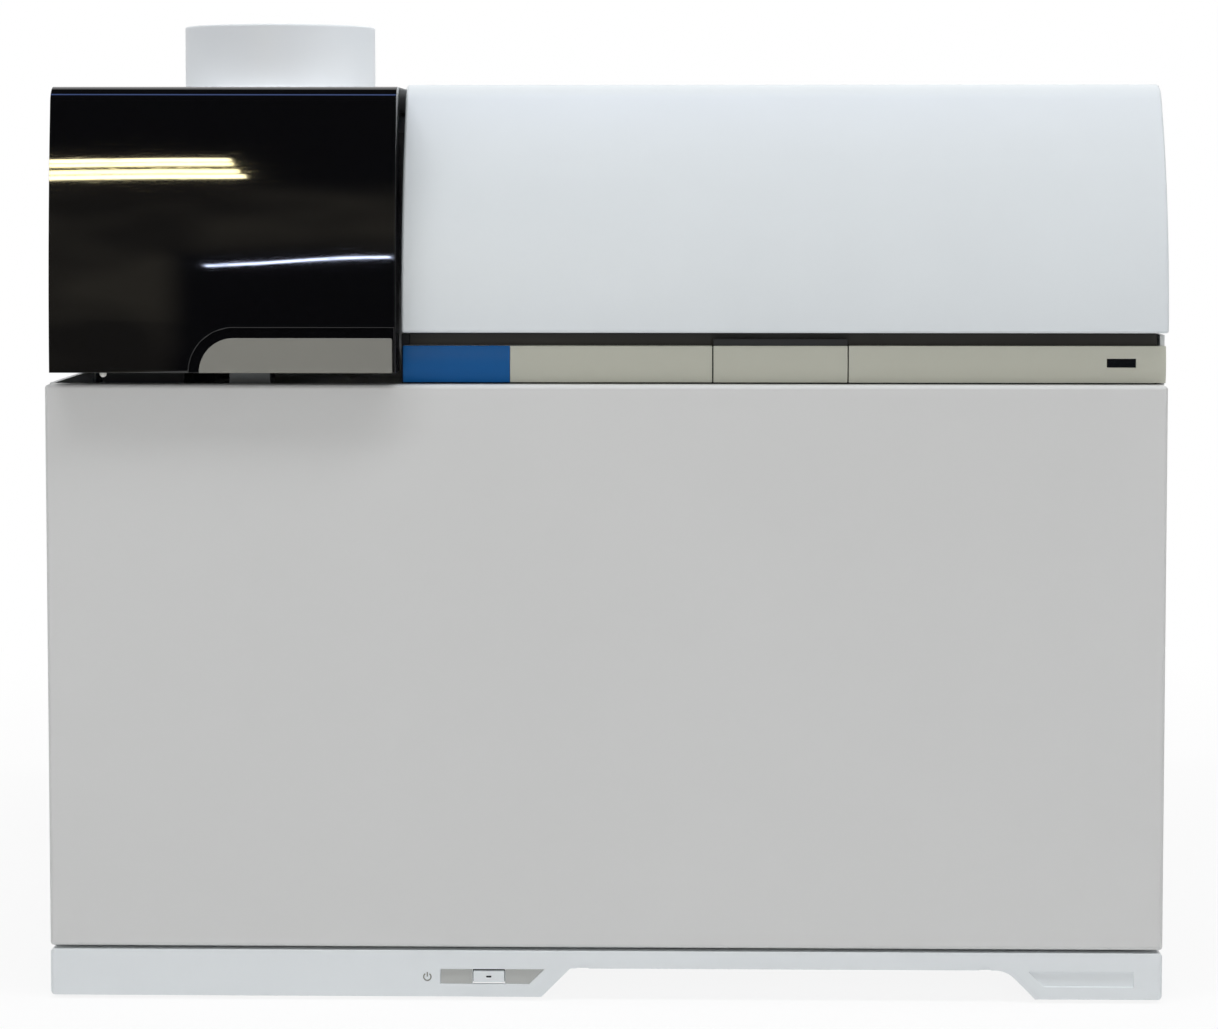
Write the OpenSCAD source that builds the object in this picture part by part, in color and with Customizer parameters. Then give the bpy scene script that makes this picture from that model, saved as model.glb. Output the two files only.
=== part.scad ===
// Benchtop plasma mass spectrometer: a sheet chassis with moulded covers, a lift-up hood over the sample
// bay, a lift-up cover over the analyser, and the working parts that both of them uncover.
// Millimetres. +X is to the right seen from the front, +Y goes to the back, +Z is up.
// The origin is the centre of the footprint, at bench level.

/* [Overall] */
// Width over the side panels
body_w = 730; // [715:1:760]
// Depth from the hood's face to the ends of the rear ports
body_d = 600; // [592:1:640]
// Height of the roof above the bench
roof_h = 601; // [596:1:621]

/* [Covers] */
// Wall of the moulded covers and side panels
skin = 3; // [2.5:0.5:4]
// How far the hood's face stands proud of the front panel's face
hood_proud = 15; // [12:1:18]
// Width of the hood
hood_w = 224.5; // [220:0.5:230]
// Setback of the hood's left cheek from the body's left side
hood_inset = 6; // [4:0.5:8]
// Depth of the hood from its face to its hinge axis
hood_d = 175; // [165:1:185]
// Drop of the hood's top below the roof
hood_drop = 2.5; // [1:0.5:4]
// Gap between the front panel and the hood's lower edge
hood_gap = 8.5; // [7:0.5:10]
// Radius of the hood's large front curve
hood_sweep_r = 1150; // [900:10:1400]
// Height of the hood's grip
grip_h = 22.5; // [20:0.5:26]
// Width of the scooped band round the grip
scoop_w = 7; // [5:0.5:9]
// Depth of the scooped band
scoop_d = 1.2; // [0.8:0.1:1.5]
// Slot between the hood and the analyser cover
side_gap = 2.5; // [2:0.5:5]
// Depth of the analyser cover from the front panel's face to its hinge axis
cover_d = 385; // [375:1:400]
// Radius of the analyser cover's large front curve
sweep_r = 290; // [270:5:330]
// Radius of the shoulder between the front curve and the top
shoulder_r = 20; // [14:1:24]
// Depth of the covers' turned-in edges
lip_d = 16; // [12:1:20]
// Edge rounding of the mouldings
edge_r = 3; // [2:0.5:4]

/* [Front] */
// Depth of the rims of the front panel and the base trim
rim_d = 18; // [16:1:19]
// Height of the front panel
front_h = 370; // [362:0.5:378]
// Joint between the base trim and the front panel
trim_gap = 2; // [1:0.5:3]
// Height of the base trim
trim_h = 30.5; // [28:0.5:32]
// Clearance between the base trim and the bench
trim_clear = 2.5; // [2:0.5:5]
// Height of the name strip
strip_h = 24; // [22:0.5:28]
// Setback of the name strip from the front panel's face
strip_set = 12; // [11:0.5:14]
// Thickness of the strip bars
strip_t = 8; // [7.5:0.5:10]
// Bulge of the strip bars' faces
strip_bulge = 1.5; // [0.5:0.1:2]
// Finger gap between the strip and the analyser cover
finger_gap = 9; // [7:0.5:11]
// Left end of the latch bar
latch_x0 = 70; // [62:1:76]
// Length of the latch bar
latch_w = 89; // [80:0.5:96]
// Joint at each end of the latch bar
latch_joint = 0.8; // [0.5:0.1:1.5]
// Travel of the latch bar
latch_travel = 3; // [2:0.5:3.5]
// Length of the coloured plate
plate_w = 70; // [60:1:90]
// Thickness of the coloured plate
plate_t = 1.2; // [0.8:0.1:2]
// Width of the status window
window_w = 19; // [15:1:24]
// Height of the status window
window_h = 5.8; // [4:0.2:7]
// Distance of the status window from the body's right side
window_in = 19.5; // [18:0.5:26]

/* [Base cut-out and switch] */
// Left end of the cut-out at the bench
cutout_x0 = -41.5; // [-43:0.5:-40]
// Right end of the cut-out at the bench
cutout_x1 = 282; // [276:0.5:284]
// Width of the cut-out's slanted ends
cutout_slant = 19; // [16:1:21]
// Radius of the cut-out's soft right corner
cutout_soft_r = 18; // [10:1:24]
// Height of the band over the cut-out
cutout_band = 11.5; // [9:0.5:13]
// Left end of the switch recess
recess_x0 = -108; // [-115:1:-107]
// Left end of the plain recess
plain_x0 = 277.5; // [276:0.5:282]
// Width of each recess along its top
recess_w = 68.5; // [64:0.5:69]
// Height of each recess
recess_h = 10; // [9:0.5:11]
// Depth of each recess
recess_d = 1.5; // [1:0.1:2]
// Width of the power button
button_w = 20.5; // [18:0.5:24]
// Height of the power button
button_h = 7.6; // [6:0.2:8]
// Distance of the power button's centre from the recess's left end
button_in = 32; // [26:0.5:36]
// Travel of the power button
button_travel = 2; // [1.5:0.1:2.5]

/* [Chassis] */
// Sheet thickness of the chassis
sheet = 2; // [1.5:0.5:2.5]
// Height of the feet
foot_h = 19; // [17:0.5:21]
// Height of the case panels' lower edges above the bench
skirt_z0 = 10; // [8:0.5:12]
// Radius of the feet
foot_r = 18; // [15:1:22]
// Drop of the deck below the front panel's top
deck_drop = 10; // [9:1:12]
// Protrusion of the rear ports
port_len = 20; // [18:1:25]
// Height of a vent slot
vent_t = 4; // [3:0.5:5]
// Width of the folded flanges
flange_w = 20; // [15:1:25]
// Radius of the hinge pins
pin_r = 1.5; // [1.2:0.1:1.8]
// Outer radius of the hinge knuckles
knuckle_r = 3; // [2.8:0.1:3.4]
// Length of a hinge
hinge_len = 50; // [40:1:60]

/* [Exhaust] */
// Outer radius of the exhaust collar
duct_r = 68; // [62:1:70]
// Wall of the exhaust collar
duct_wall = 2; // [1.5:0.5:3]
// Height of the collar over the roof
duct_h = 46; // [40:1:60]
// Offset of the collar to the right of the hood's centre
duct_shift = 8; // [0:1:12]
// Width of the collar's flange
duct_flange = 7; // [5:0.5:8]

/* [Ion path] */
// Distance of the ion axis behind the hood's hinge
axis_back = 40; // [36:1:46]
// Radius of the interface body
iface_r = 34; // [30:1:36]
// Reach of the interface into the torch box
iface_reach = 14; // [10:1:16]
// Gap between the vacuum chamber and the right frame
chamber_gap = 70; // [60:1:85]
// Width of the vacuum chamber
chamber_w = 160; // [150:1:170]
// Height of the vacuum chamber
chamber_h = 120; // [115:1:126]
// Wall of the vacuum chamber
chamber_wall = 15; // [12:1:16]
// Thickness of the chamber's lid
lid_t = 12; // [10:1:14]
// Radius of the quadrupole rods
rod_r = 8; // [7:0.5:9]
// Gap between the detector and the chamber's end wall
detector_gap = 64; // [50:1:80]
// Radius of the turbo pump
turbo_r = 56; // [50:1:58]
// Length of the turbo pump
turbo_len = 165; // [150:1:180]

/* [Torch box] */
// Width of the torch box
torch_box_w = 116; // [112:1:118]
// Depth of the torch box
torch_box_d = 180; // [172:1:184]
// Gap between the torch box and the roof
torch_gap = 29; // [26:1:34]
// Wall of the torch box
box_wall = 2.5; // [2:0.5:3]
// Travel of the torch box away from the cones
torch_travel = 28; // [20:1:28]
// Radius of the torch's outer tube
torch_r = 10; // [9:0.5:11]
// Radius of the load coil
coil_r = 15; // [14:0.5:16]
// Thickness of the coil's tube
coil_tube = 3; // [2.5:0.5:3.5]
// Turns of the coil
coil_turns = 3; // [2:1:3]
// Width of the cooled block
cooler_w = 54; // [48:1:56]
// Drop of the cooled block's top below the torch box's top
cooler_drop = 39; // [36:1:50]

/* [Peristaltic pump] */
// Radius from the pump's axis to the outside of the rollers
track_r = 21; // [19:0.5:22]
// Number of rollers
rollers = 8; // [6:1:10]
// Radius of a roller
roller_r = 3.5; // [3:0.5:4]
// Width of one tubing channel
channel_w = 15; // [14:0.5:16]
// Gap between the rollers and a pressure shoe
shoe_gap = 2.4; // [2:0.1:3]
// Thickness of a pressure shoe
shoe_t = 5; // [4:0.5:6]

/* [Fan and electronics] */
// Side of the cooling fan's frame
fan_w = 119; // [110:1:120]
// Depth of the cooling fan
fan_d = 25; // [20:1:30]
// Number of fan blades
blades = 7; // [5:1:9]
// Width of the RF generator
rf_w = 150; // [130:1:160]
// Depth of the RF generator
rf_d = 280; // [240:1:290]
// Height of the RF generator
rf_h = 176; // [150:1:190]
// Width of the power supply
psu_w = 170; // [150:1:180]
// Depth of the power supply
psu_d = 160; // [140:1:180]
// Height of the power supply
psu_h = 146; // [120:1:160]

/* [Hidden] */
$fn = 48;

// Clearances
run = 0.05;      // radial clearance of a pin in its bore
slide_gap = 0.3; // clearance of a sliding or swinging piece
pass = 0.5;      // radial clearance where a part passes through a hole
eps = 1;         // overshoot of a cut

// Levels across the body
half_w = body_w / 2;
inner_x = half_w - skin;
frame_x = inner_x - sheet;
hood_x0 = -half_w + hood_inset;
hood_x1 = hood_x0 + hood_w;
cover_x0 = hood_x1 + side_gap;
wall_x0 = cover_x0 + skin + 1;
wall_x1 = wall_x0 + sheet;

// Levels from front to back
hood_y = -body_d / 2;
face_y = hood_y + hood_proud;
rim_y = face_y + rim_d;
strip_y = face_y + strip_set;
rail_y = strip_y + strip_t;
deck_y = max(rail_y, rim_y);
back_y = body_d / 2 - port_len;
inner_back_y = back_y - sheet;
hood_axis_y = hood_y + hood_d;
cover_axis_y = face_y + cover_d;
seam = knuckle_r + 0.4;
roof_y0 = hood_axis_y + seam;
roof_y1 = cover_axis_y + seam;
duct_y = roof_y0 + duct_flange + duct_r + 8;
hood_xc = (hood_x0 + hood_x1) / 2;
duct_x = hood_xc + duct_shift;

// Levels above the bench
trim_z1 = trim_clear + trim_h;
front_z0 = trim_z1 + trim_gap;
front_z1 = front_z0 + front_h;
deck_z1 = front_z1 - deck_drop;
deck_z0 = deck_z1 - sheet;
pan_z1 = foot_h + sheet;
strip_z0 = front_z1 + 1;
strip_z1 = strip_z0 + strip_h;
cover_z0 = strip_z1 + finger_gap;
hood_z0 = front_z1 + hood_gap;
hood_top = roof_h - hood_drop;
roof_z0 = roof_h - sheet;
hinge_z = roof_h - knuckle_r;

// The ion axis and what lies along it
axis_y = hood_axis_y + axis_back;
axis_z = deck_z1 + (roof_z0 - deck_z1 - lid_t) / 2;
iface_x0 = wall_x0 - iface_reach;
chamber_x0 = wall_x1 + 24;
chamber_x1 = frame_x - chamber_gap;
chamber_len = chamber_x1 - chamber_x0;
chamber_z0 = axis_z - chamber_h / 2;
chamber_z1 = axis_z + chamber_h / 2;
turbo_x = chamber_x0 + chamber_len * 0.55;
turbo_port_z = chamber_z0 - turbo_len + 22;
cell_w = 62;
cell_x0 = chamber_x0 + chamber_wall + 46;
quad_x0 = cell_x0 + cell_w + 10;
detector_w = 34;
detector_x0 = chamber_x1 - chamber_wall - detector_gap - detector_w;
quad_len = detector_x0 - 8 - quad_x0;
rod_len = quad_len - 8;

// The torch box and its stage
rail_h = 8;
stage_z0 = deck_z1 + rail_h + slide_gap;
stage_t = 3;
torch_x1 = wall_x0 - 2;
torch_x0 = torch_x1 - torch_box_w;
torch_y0 = axis_y - torch_box_d / 2;
torch_y1 = axis_y + torch_box_d / 2;
torch_z0 = stage_z0 + stage_t;
torch_z1 = roof_z0 - torch_gap;
torch_box_h = torch_z1 - torch_z0;
cooler_x1 = torch_x0 - 12;
cooler_x0 = cooler_x1 - cooler_w;
cooler_y0 = axis_y - 42;
cooler_y1 = axis_y + 38;
stage_x0 = cooler_x0 - 2;
torch_tip_x = iface_x0 - 26;
coil_x1 = torch_tip_x - 6;
coil_pitch = coil_tube * 1.9;
rail_ys = [torch_y0 + 30, torch_y1 - 30];
rail_w = 12;
door_w = 92;
door_h = torch_box_h * 0.56;
door_x0 = (torch_x0 + torch_x1) / 2 - door_w / 2;
door_z1 = torch_z1 - 14;
door_z0 = door_z1 - door_h;
door_t = 3;
door_axis_y = torch_y0 - 3.5;
door_axis_z = door_z1 + 3.5;
door_window_r = 15;

// The peristaltic pump
pump_x = hood_x0 + skin + 62;
pump_y0 = deck_y + 10;
pump_z = deck_z1 + track_r + 19;
plate_y = 4;
drum_y0 = pump_y0 + plate_y + 1;
drum_y1 = drum_y0 + 2 * channel_w + 6;
shoe_r0 = track_r + shoe_gap;
shoe_r1 = shoe_r0 + shoe_t;
shoe_pin_x = pump_x - shoe_r1 - 4;
shoe_pin_r = 2;
motor_d = min(30, torch_y0 - 6 - drum_y1);
pump_foot = 38;
pump_shaft_r = 3;

// The fan
fan_x = half_w - 150;
fan_z = (deck_z1 + roof_z0) / 2;
fan_y1 = inner_back_y;
fan_y0 = fan_y1 - fan_d;
fan_bore_r = fan_w / 2 - 3;
fan_hub_r = 19;
fan_spoke_t = 3;
fan_shaft_r = 3;
fan_shaft_len = 14;

// Windows in the side frames, and the board's standoffs between them
frame_window_w = 60;
frame_window_dy = (inner_back_y - rim_y - 85 - frame_window_w) / 4;
frame_window_dz = (deck_z0 - pan_z1 - 93 - frame_window_w) / 2;
frame_window_ys = [for (i = [0 : 4]) rim_y + 50 + i * frame_window_dy];
frame_window_zs = [for (i = [0 : 2]) pan_z1 + 60 + i * frame_window_dz];
standoff_ys = [for (i = [0, 2]) frame_window_ys[i] + frame_window_w + 20];
standoff_zs = [for (i = [0, 1]) frame_window_zs[i] + frame_window_w + 25];

// The control board and the blocks on it
board_t = 1.6;
board_rim = 20;
chip_w = 28;
chip_pitch = 44;

// Vents in the roof, and the places of the closed units below the deck
roof_vents = floor((back_y - roof_y1 - 80) / (vent_t * 2.5));
rf_x0 = -frame_x + 30;
rf_y0 = deck_y + 45;
psu_x0 = -60;
psu_y1 = inner_back_y - 28;

// Slots of the case, and the screws of the rear panel
slot_w = 6;
pan_slots = 10;
side_slot_rows = 8;
low_slot_z = 60;
rear_slot_y0 = back_y - 180;
rear_slot_y1 = back_y - 40;
screw_r = 3.5;
screw_in = 9;
rear_screw_z0 = pan_z1 + 8;

// The cut-out's ceiling, the turn of its slants and the two finger notches in it
ceiling_z = trim_z1 - cutout_band;
slant_angle = atan((ceiling_z - trim_clear) / cutout_slant);
notch_r = 4.5;
notch_h = 2.4;
notch_xs = [cutout_x0 + cutout_slant + 8, cutout_x1 - cutout_slant - 14];

// The button and the recesses
recess_z0 = trim_clear + (trim_h - recess_h) / 2 - 2;
button_x = recess_x0 + button_in;
button_z = recess_z0 + recess_h / 2;

// ---- Helpers -----------------------------------------------------------------------------

// A block between two corners
module block(x0, x1, y0, y1, z0, z1) {
    translate([x0, y0, z0]) cube([x1 - x0, y1 - y0, z1 - z0]);
}

// A rod along X, along Y and along Z
module rod_x(r, x0, x1, y, z) {
    translate([x0, y, z]) rotate([0, 90, 0]) cylinder(r = r, h = x1 - x0);
}

module rod_y(r, y0, y1, x, z) {
    translate([x, y1, z]) rotate([90, 0, 0]) cylinder(r = r, h = y1 - y0);
}

module rod_z(r, z0, z1, x, y) {
    translate([x, y, z0]) cylinder(r = r, h = z1 - z0);
}

// Carries a side outline, drawn as (y, z), across the body from x0 to x1
module across(x0, x1) {
    translate([x0, 0, 0]) rotate([90, 0, 90]) linear_extrude(x1 - x0) children();
}

// Carries a front outline, drawn as (x, z), back from y0 to y1
module back_from(y0, y1) {
    translate([0, y1, 0]) rotate([90, 0, 0]) linear_extrude(y1 - y0) children();
}

// A rectangle with round corners, between two corners
module round_rect(u0, u1, v0, v1, r) {
    translate([u0 + r, v0]) square([u1 - u0 - 2 * r, v1 - v0]);
    translate([u0, v0 + r]) square([u1 - u0, v1 - v0 - 2 * r]);
    for (u = [u0 + r, u1 - r], v = [v0 + r, v1 - r]) translate([u, v]) circle(r);
}

// The side outline of a cover: upright at its lower front edge, swept back along a large circle and
// turned through a shoulder into the flat top. cut moves the whole outline inwards.
module cover_outline(front, bottom, top, rear, sweep, shoulder, cut) {
    big_r = sweep - cut;
    small_r = shoulder - cut;
    high = top - cut;
    cz = high - small_r;
    cy = front + sweep - sqrt(pow(big_r - small_r, 2) - pow(cz - bottom, 2));
    away = [cy - front - sweep, cz - bottom] / (big_r - small_r);
    reach = 2 * small_r + 1;
    difference() {
        intersection() {
            translate([front, bottom]) square([rear - front, high - bottom]);
            translate([front + sweep, bottom]) circle(big_r, $fn = 200);
        }
        polygon([[cy, cz], [cy, cz + reach], [cy, cz + reach] + away * reach, [cy, cz] + away * reach]);
    }
    translate([cy, cz]) circle(small_r);
}

module hood_outline(cut) {
    cover_outline(hood_y, hood_z0, hood_top, hood_axis_y - seam, hood_sweep_r, 12, cut);
}

module cover_face_outline(cut) {
    cover_outline(face_y, cover_z0, roof_h, cover_axis_y - seam, sweep_r, shoulder_r, cut);
}

// A row of level slots through a wall that faces X
module side_slots(x, y0, y1, z0) {
    for (i = [0 : side_slot_rows - 1]) {
        z = z0 + i * vent_t * 2.5;
        block(x - skin - eps, x + skin + eps, y0, y1, z, z + vent_t);
    }
}

// The fixed half of a hinge: plate, tongues, two outer knuckles and the pin
module hinge_fixed(x, axis_y) {
    knuckle = hinge_len / 4;
    for (s = [-1, 1]) {
        x0 = s < 0 ? x - hinge_len / 2 : x + hinge_len / 2 - knuckle;
        rod_x(knuckle_r, x0, x0 + knuckle, axis_y, hinge_z);
        block(x0, x0 + knuckle, axis_y, axis_y + seam + 1, hinge_z - sheet / 2, roof_z0);
    }
    block(x - hinge_len / 2, x + hinge_len / 2, axis_y + seam, axis_y + 22, hinge_z - sheet / 2, roof_z0);
    rod_x(pin_r, x - hinge_len / 2, x + hinge_len / 2, axis_y, hinge_z);
}

// The moving half: plate and tongue with the middle knuckle, bored for the pin
module hinge_moving(x, axis_y, top) {
    knuckle = hinge_len / 4 - slide_gap;
    difference() {
        union() {
            rod_x(knuckle_r, x - knuckle, x + knuckle, axis_y, hinge_z);
            block(x - knuckle, x + knuckle, axis_y - seam - 1, axis_y, top - sheet, top);
            block(x - hinge_len / 2, x + hinge_len / 2, axis_y - 22, axis_y - seam, top - sheet, top);
        }
        rod_x(pin_r + run, x - hinge_len, x + hinge_len, axis_y, hinge_z);
    }
}

grip_w = 125.2;
grip_seat = 2;
grip_corner = 1.5;
grip_x1 = hood_x1 - 2.2;
catch_x = latch_x0 + latch_w / 2;
catch_w = latch_w - 28.5;
hood_hinge_xs = [hood_x0 + 52, hood_x1 - 45];
cover_hinge_xs = [cover_x0 + 80, half_w - 80];

// ---- Chassis -----------------------------------------------------------------------------

module base_pan() {
    color("silver") difference() {
        union() {
            block(-inner_x, inner_x, rim_y, inner_back_y, foot_h, pan_z1);
            block(-frame_x + flange_w, frame_x - flange_w, rim_y, rim_y + sheet, foot_h, pan_z1 + 12);
            block(-frame_x + flange_w, frame_x - flange_w, inner_back_y - sheet, inner_back_y,
                  foot_h, pan_z1 + 12);
        }
        for (i = [0 : pan_slots - 1], x = [-frame_x + 40, frame_x - 200])
            block(x + i * 2 * slot_w, x + slot_w + i * 2 * slot_w, deck_y + 105, deck_y + 205,
                  foot_h - eps, pan_z1 + eps);
    }
}

module levelling_feet() {
    color("dimgray") for (x = [-inner_x + 50, inner_x - 50], y = [rim_y + 40, inner_back_y - 40])
        translate([x, y, 0]) rotate_extrude()
            polygon([[0, 0], [foot_r - 2, 0], [foot_r, 2], [foot_r, foot_h - 5], [foot_r - 6, foot_h - 2],
                     [foot_r - 6, foot_h], [0, foot_h]]);
}

// The slanted recess in the base trim, and its mirror at the other end
module recess(x0, flip) {
    x1 = x0 + recess_w;
    points = flip
        ? [[x0 + recess_h, recess_z0], [x1, recess_z0], [x1, recess_z0 + recess_h], [x0, recess_z0 + recess_h]]
        : [[x0, recess_z0], [x1 - recess_h, recess_z0], [x1, recess_z0 + recess_h], [x0, recess_z0 + recess_h]];
    back_from(face_y - eps, face_y + recess_d) polygon(points);
}

// One upper corner of the cut-out, rounded by an arc from the slant to the level ceiling; s is -1 at
// the left and 1 at the right
function cutout_corner(x, s, r) =
    [for (i = [0 : 8]) let (a = slant_angle * (s < 0 ? 8 - i : i) / 8)
        [x - s * r * tan(slant_angle / 2) + s * r * sin(a), ceiling_z - r + r * cos(a)]];

module base_trim() {
    color("gainsboro") difference() {
        intersection() {
            back_from(face_y, rim_y) round_rect(-half_w, half_w, trim_clear, trim_z1, edge_r);
            translate([0, 0, trim_clear - eps]) linear_extrude(trim_h + 2 * eps)
                round_rect(-half_w, half_w, face_y, rim_y + 10, edge_r);
        }
        for (side = [[-half_w + skin, cutout_x0 - skin], [cutout_x1 + skin, half_w - skin]])
            block(side[0], side[1], face_y + skin, rim_y + eps, trim_clear + skin, trim_z1 - skin);
        block(cutout_x0, cutout_x1, face_y + skin, rim_y + eps, ceiling_z + skin, trim_z1 - skin);
        back_from(face_y - eps, rim_y + eps)
            polygon(concat([[cutout_x0, trim_clear - eps], [cutout_x0, trim_clear]],
                           cutout_corner(cutout_x0 + cutout_slant, -1, 3),
                           cutout_corner(cutout_x1 - cutout_slant, 1, cutout_soft_r),
                           [[cutout_x1, trim_clear], [cutout_x1, trim_clear - eps]]));
        for (x = notch_xs) rod_y(notch_r, face_y - eps, face_y + skin - 1, x, ceiling_z + notch_h - notch_r);
        recess(recess_x0, false);
        recess(plain_x0, true);
        block(button_x - button_w / 2 - slide_gap, button_x + button_w / 2 + slide_gap,
              face_y - eps, face_y + skin + eps, recess_z0, recess_z0 + recess_h);
    }
}

// One side frame: a windowed plate with folded flanges, a shelf for the deck and a rear post
module side_frame(s, post_y) {
    color("silver") mirror([s > 0 ? 0 : 1, 0, 0]) {
        difference() {
            union() {
                block(frame_x, inner_x, rim_y, inner_back_y, pan_z1, deck_z1);
                block(frame_x, inner_x, post_y, inner_back_y, pan_z1, roof_z0);
            }
            for (y = frame_window_ys, z = frame_window_zs) frame_window(y, z);
            for (y = [for (i = [3, 4]) frame_window_ys[i]]) frame_window(y, deck_z1 + 70);
        }
        block(frame_x - flange_w, frame_x, rim_y, rim_y + sheet, pan_z1, deck_z0);
        block(frame_x - flange_w, frame_x, inner_back_y - sheet, inner_back_y, pan_z1, deck_z0);
        block(frame_x - flange_w, frame_x, rim_y, inner_back_y, deck_z0 - sheet, deck_z0);
        block(frame_x - flange_w, frame_x, rim_y, inner_back_y, pan_z1, pan_z1 + sheet);
        block(frame_x - flange_w, frame_x, inner_back_y - sheet, inner_back_y, deck_z1, roof_z0);
        block(frame_x - flange_w, frame_x, post_y, inner_back_y, roof_z0 - sheet, roof_z0);
    }
}

// One round-cornered window in the side frame's lower plate
module frame_window(y0, z0) {
    across(frame_x - eps, inner_x + eps)
        round_rect(y0, y0 + frame_window_w, z0, z0 + frame_window_w, 12);
}

module frame_left() { side_frame(-1, roof_y0); }
module frame_right() { side_frame(1, roof_y1); }

module mid_deck() {
    color("lightgray") difference() {
        union() {
            block(-frame_x, frame_x, deck_y, inner_back_y, deck_z0, deck_z1);
            block(-frame_x + flange_w, frame_x - flange_w, rim_y, deck_y + sheet, deck_z0 - 18, deck_z1);
        }
        rod_z(turbo_r + 3, deck_z0 - eps, deck_z1 + eps, turbo_x, axis_y);
        rod_z(9, deck_z0 - eps, deck_z1 + eps, pump_x + 60, torch_y0 - 20);
        for (i = [0 : 7]) block(fan_x - 95 + i * 14, fan_x - 95 + slot_w + i * 14, back_y - 150, back_y - 90,
                                deck_z0 - eps, deck_z1 + eps);
    }
}

module bulkhead() {
    color("silver") difference() {
        union() {
            across(wall_x0, wall_x1) intersection() {
                cover_face_outline(skin + 2);
                translate([deck_y + 4, 0]) square([cover_axis_y - seam - 3 - deck_y - 4, roof_h]);
            }
            block(wall_x0, wall_x1, deck_y + 4, cover_axis_y - seam - 3, deck_z1, cover_z0);
            block(wall_x1, wall_x1 + 14, deck_y + 4, cover_axis_y - seam - 3, deck_z1, deck_z1 + sheet);
        }
        rod_x(iface_r + pass, wall_x0 - eps, wall_x1 + eps, axis_y, axis_z);
    }
}

// ---- Outer panels ------------------------------------------------------------------------

module side_panel_left() {
    color("whitesmoke") difference() {
        across(-half_w, -inner_x)
            polygon([[rim_y + 1.5, skirt_z0], [back_y, skirt_z0], [back_y, roof_z0], [roof_y0, roof_z0],
                     [roof_y0, front_z1], [rim_y + 1.5, front_z1]]);
        side_slots(-half_w, rear_slot_y0, rear_slot_y1, low_slot_z);
        side_slots(-half_w, rear_slot_y0, rear_slot_y1, deck_z1 + 60);
    }
}

module side_panel_right() {
    color("whitesmoke") difference() {
        across(inner_x, half_w)
            polygon([[rim_y + 1.5, skirt_z0], [back_y, skirt_z0], [back_y, roof_z0], [roof_y1, roof_z0],
                     [roof_y1, cover_z0 - 2], [rail_y, cover_z0 - 2], [rail_y, front_z1],
                     [rim_y + 1.5, front_z1]]);
        side_slots(inner_x, rim_y + 47, rim_y + 187, low_slot_z);
        side_slots(inner_x, rear_slot_y0, rear_slot_y1, low_slot_z);
    }
}

// Rows of level slots through the rear panel
module rear_slots(x0, x1, rows) {
    for (i = [0 : rows - 1]) {
        z = low_slot_z + i * vent_t * 2.5;
        block(x0, x1, inner_back_y - eps, back_y + eps, z, z + vent_t);
    }
}

// A pan head on the rear panel
module screw_head(x, z) {
    translate([x, back_y, z]) rotate([-90, 0, 0]) difference() {
        cylinder(r1 = screw_r, r2 = screw_r - 1, h = 2);
        for (a = [0, 90]) rotate([0, 0, a]) translate([-screw_r / 2, -0.4, 1]) cube([screw_r, 0.8, 2]);
    }
}

module rear_panel() {
    color("whitesmoke") difference() {
        union() {
            block(-inner_x, inner_x, inner_back_y, back_y, skirt_z0, roof_z0);
            for (i = [0 : 4], z = [rear_screw_z0, roof_z0 - screw_in]) screw_head(
                -inner_x + screw_in + i * (inner_x - screw_in) / 2, z);
            for (x = [-inner_x + screw_in, inner_x - screw_in]) screw_head(x, deck_z1);
        }
        for (i = [-3 : 3]) {
            w = sqrt(pow(fan_bore_r - 4, 2) - pow(i * 15, 2));
            block(fan_x - w, fan_x + w, inner_back_y - eps, back_y + eps,
                  fan_z + i * 15 - 5, fan_z + i * 15 + 5);
        }
        rear_slots(rf_x0 + 10, rf_x0 + rf_w, 10);
        rear_slots(psu_x0 + 40, psu_x0 + psu_w, 8);
        rod_y(pipe_r + pass, inner_back_y - eps, back_y + eps, turbo_x, turbo_port_z);
        for (x = gas_xs) rod_y(gas_r + pass, inner_back_y - eps, back_y + eps, x, gas_z);
        for (x = water_xs) rod_y(water_r + pass, inner_back_y - eps, back_y + eps, x, water_z);
        rod_y(gland_r + pass, inner_back_y - eps, back_y + eps, gland_x, gland_z);
    }
}

module roof_panel() {
    color("whitesmoke") difference() {
        union() {
            block(-half_w, half_w, roof_y1, back_y, roof_z0, roof_h);
            block(-half_w, hood_x1, roof_y0, roof_y1, roof_z0, roof_h);
            block(hood_x1 - sheet, hood_x1, roof_y0 + 24, roof_y1, roof_z0 - 16, roof_z0);
        }
        rod_z(duct_r + pass, roof_z0 - eps, roof_h + eps, duct_x, duct_y);
        for (i = [0 : roof_vents]) {
            y = roof_y1 + 47 + i * vent_t * 2.5;
            block(half_w - 185, half_w - 65, y, y + vent_t, roof_z0 - eps, roof_h + eps);
        }
    }
}

module front_panel() {
    color("gainsboro") difference() {
        intersection() {
            back_from(face_y, rim_y) round_rect(-half_w, half_w, front_z0, front_z1, edge_r);
            translate([0, 0, front_z0 - eps]) linear_extrude(front_h + 2 * eps)
                round_rect(-half_w, half_w, face_y, rim_y + 10, edge_r);
            across(-half_w - eps, half_w + eps) round_rect(face_y, rim_y + 10, front_z0, front_z1, edge_r);
        }
        block(-half_w + skin, half_w - skin, face_y + skin, rim_y + eps, front_z0 + skin, front_z1 - skin);
    }
}

// ---- Strip between the front panel and the analyser cover ---------------------------------

// The bar's section: flat behind, a shallow arc in front
module strip_section() {
    mid = (strip_z0 + strip_z1) / 2;
    arc_r = (pow(strip_h / 2, 2) + pow(strip_bulge, 2)) / (2 * strip_bulge);
    intersection() {
        translate([strip_y, strip_z0]) square([strip_t, strip_h]);
        translate([strip_y + arc_r, mid]) circle(arc_r, $fn = 96);
    }
}

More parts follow.
